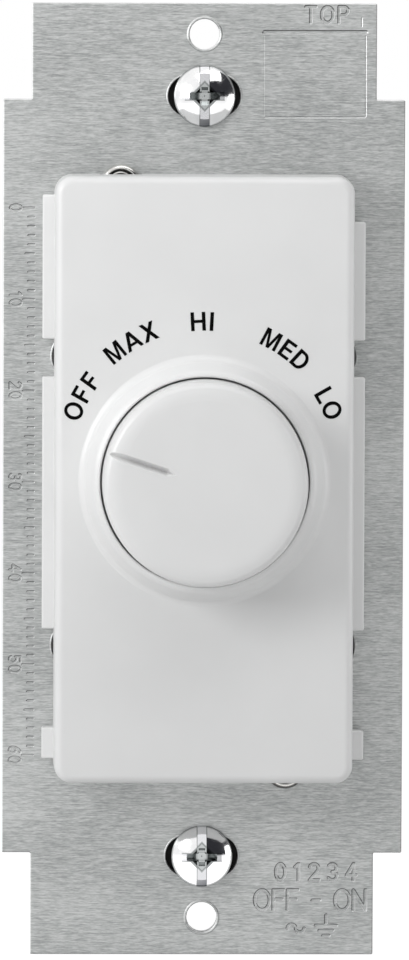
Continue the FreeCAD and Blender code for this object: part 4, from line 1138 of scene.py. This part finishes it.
def make_world():
    """A white studio to the eye and in mirrors, and a softer room for the light."""
    world = bpy.data.worlds.new("studio")
    scene.world = world
    world.use_nodes = True
    t = world.node_tree
    t.nodes.clear()
    out = t.nodes.new("ShaderNodeOutputWorld")
    soft = t.nodes.new("ShaderNodeBackground")
    white = t.nodes.new("ShaderNodeBackground")
    mix = t.nodes.new("ShaderNodeMixShader")
    path = t.nodes.new("ShaderNodeLightPath")
    seen = seen_directly(t, path)
    soft.inputs["Color"].default_value = (0.98, 0.99, 1.0, 1.0)
    coord = t.nodes.new("ShaderNodeTexCoord")

    def towards(direction):
        return along(t, coord.outputs["Generated"], Vector(direction).normalized())

    # The room is brighter towards the upper left, and all round the sides
    room = spread(t, towards((-0.50, -0.55, 0.67)), ROOM_LOW, ROOM_HIGH, -0.6, 1.0)
    sides = spread(t, size_of(t, towards(REARWARD)), ROOM_SIDES, 0.0, 0.0, 0.75)
    t.links.new(total(t, room, sides), soft.inputs["Strength"])
    # A dark card up on the right, which the bright metal mirrors
    card = spread(t, towards((0.723, -0.574, 0.385)), 0.0, 1.0, 0.72, 0.74)
    card = total(t, card, total(t, path.outputs["Is Camera Ray"], -1.0, "MULTIPLY"))
    card.node.use_clamp = True
    tone = ramp(t, card, (1.0, 1.0, 1.0), (0.03, 0.03, 0.035), 0.0, 1.0)
    t.links.new(tone, white.inputs["Color"])
    white.inputs["Strength"].default_value = 1.0
    t.links.new(seen, mix.inputs["Fac"])
    t.links.new(soft.outputs["Background"], mix.inputs[1])
    t.links.new(white.outputs["Background"], mix.inputs[2])
    t.links.new(mix.outputs["Shader"], out.inputs["Surface"])


FLOOR_HALF, FLOOR_GAP = 3.0, 0.0002


def make_floor():
    """A white floor just below the part; it looks brighter than the light it gives off."""
    h, level = FLOOR_HALF, cad_low.z - FLOOR_GAP
    corners = [(-h, -h, level), (h, -h, level), (h, h, level), (-h, h, level)]
    mesh = bpy.data.meshes.new("floor")
    mesh.from_pydata(corners, [], [(0, 1, 2, 3)])
    floor = bpy.data.objects.new("floor", mesh)
    scene.collection.objects.link(floor)
    m = bpy.data.materials.new("floor")
    m.use_nodes = True
    t = m.node_tree
    t.nodes.clear()
    out = t.nodes.new("ShaderNodeOutputMaterial")
    paper = t.nodes.new("ShaderNodeBsdfDiffuse")
    paper.inputs["Color"].default_value = (0.55, 0.55, 0.55, 1.0)
    glow = t.nodes.new("ShaderNodeEmission")
    glow.inputs["Color"].default_value = (1.0, 1.0, 1.0, 1.0)
    seen = seen_directly(t, t.nodes.new("ShaderNodeLightPath"))
    t.links.new(spread(t, seen, FLOOR_BOUNCE, FLOOR_GLOW, 0.0, 1.0), glow.inputs["Strength"])
    both = t.nodes.new("ShaderNodeAddShader")
    t.links.new(paper.outputs["BSDF"], both.inputs[0])
    t.links.new(glow.outputs["Emission"], both.inputs[1])
    t.links.new(both.outputs["Shader"], out.inputs["Surface"])
    mesh.materials.append(m)


make_camera()
dress_nodes()
make_strap()
make_dial_words()
make_screws()
make_world()
make_floor()
area_lamp("key", (-0.20, -0.15, 0.085), (0.12, 0.12), 0.36)
area_lamp("fill", (0.03, -0.17, 0.14), (0.16, 0.14), 0.052, mirrored=False)
area_lamp("top", (0.04, -0.10, 0.195), (0.20, 0.10), 0.135)
area_lamp("right", (0.30, -0.05, 0.0), (0.10, 0.10), 0.14)

scene.view_settings.view_transform = "Standard"
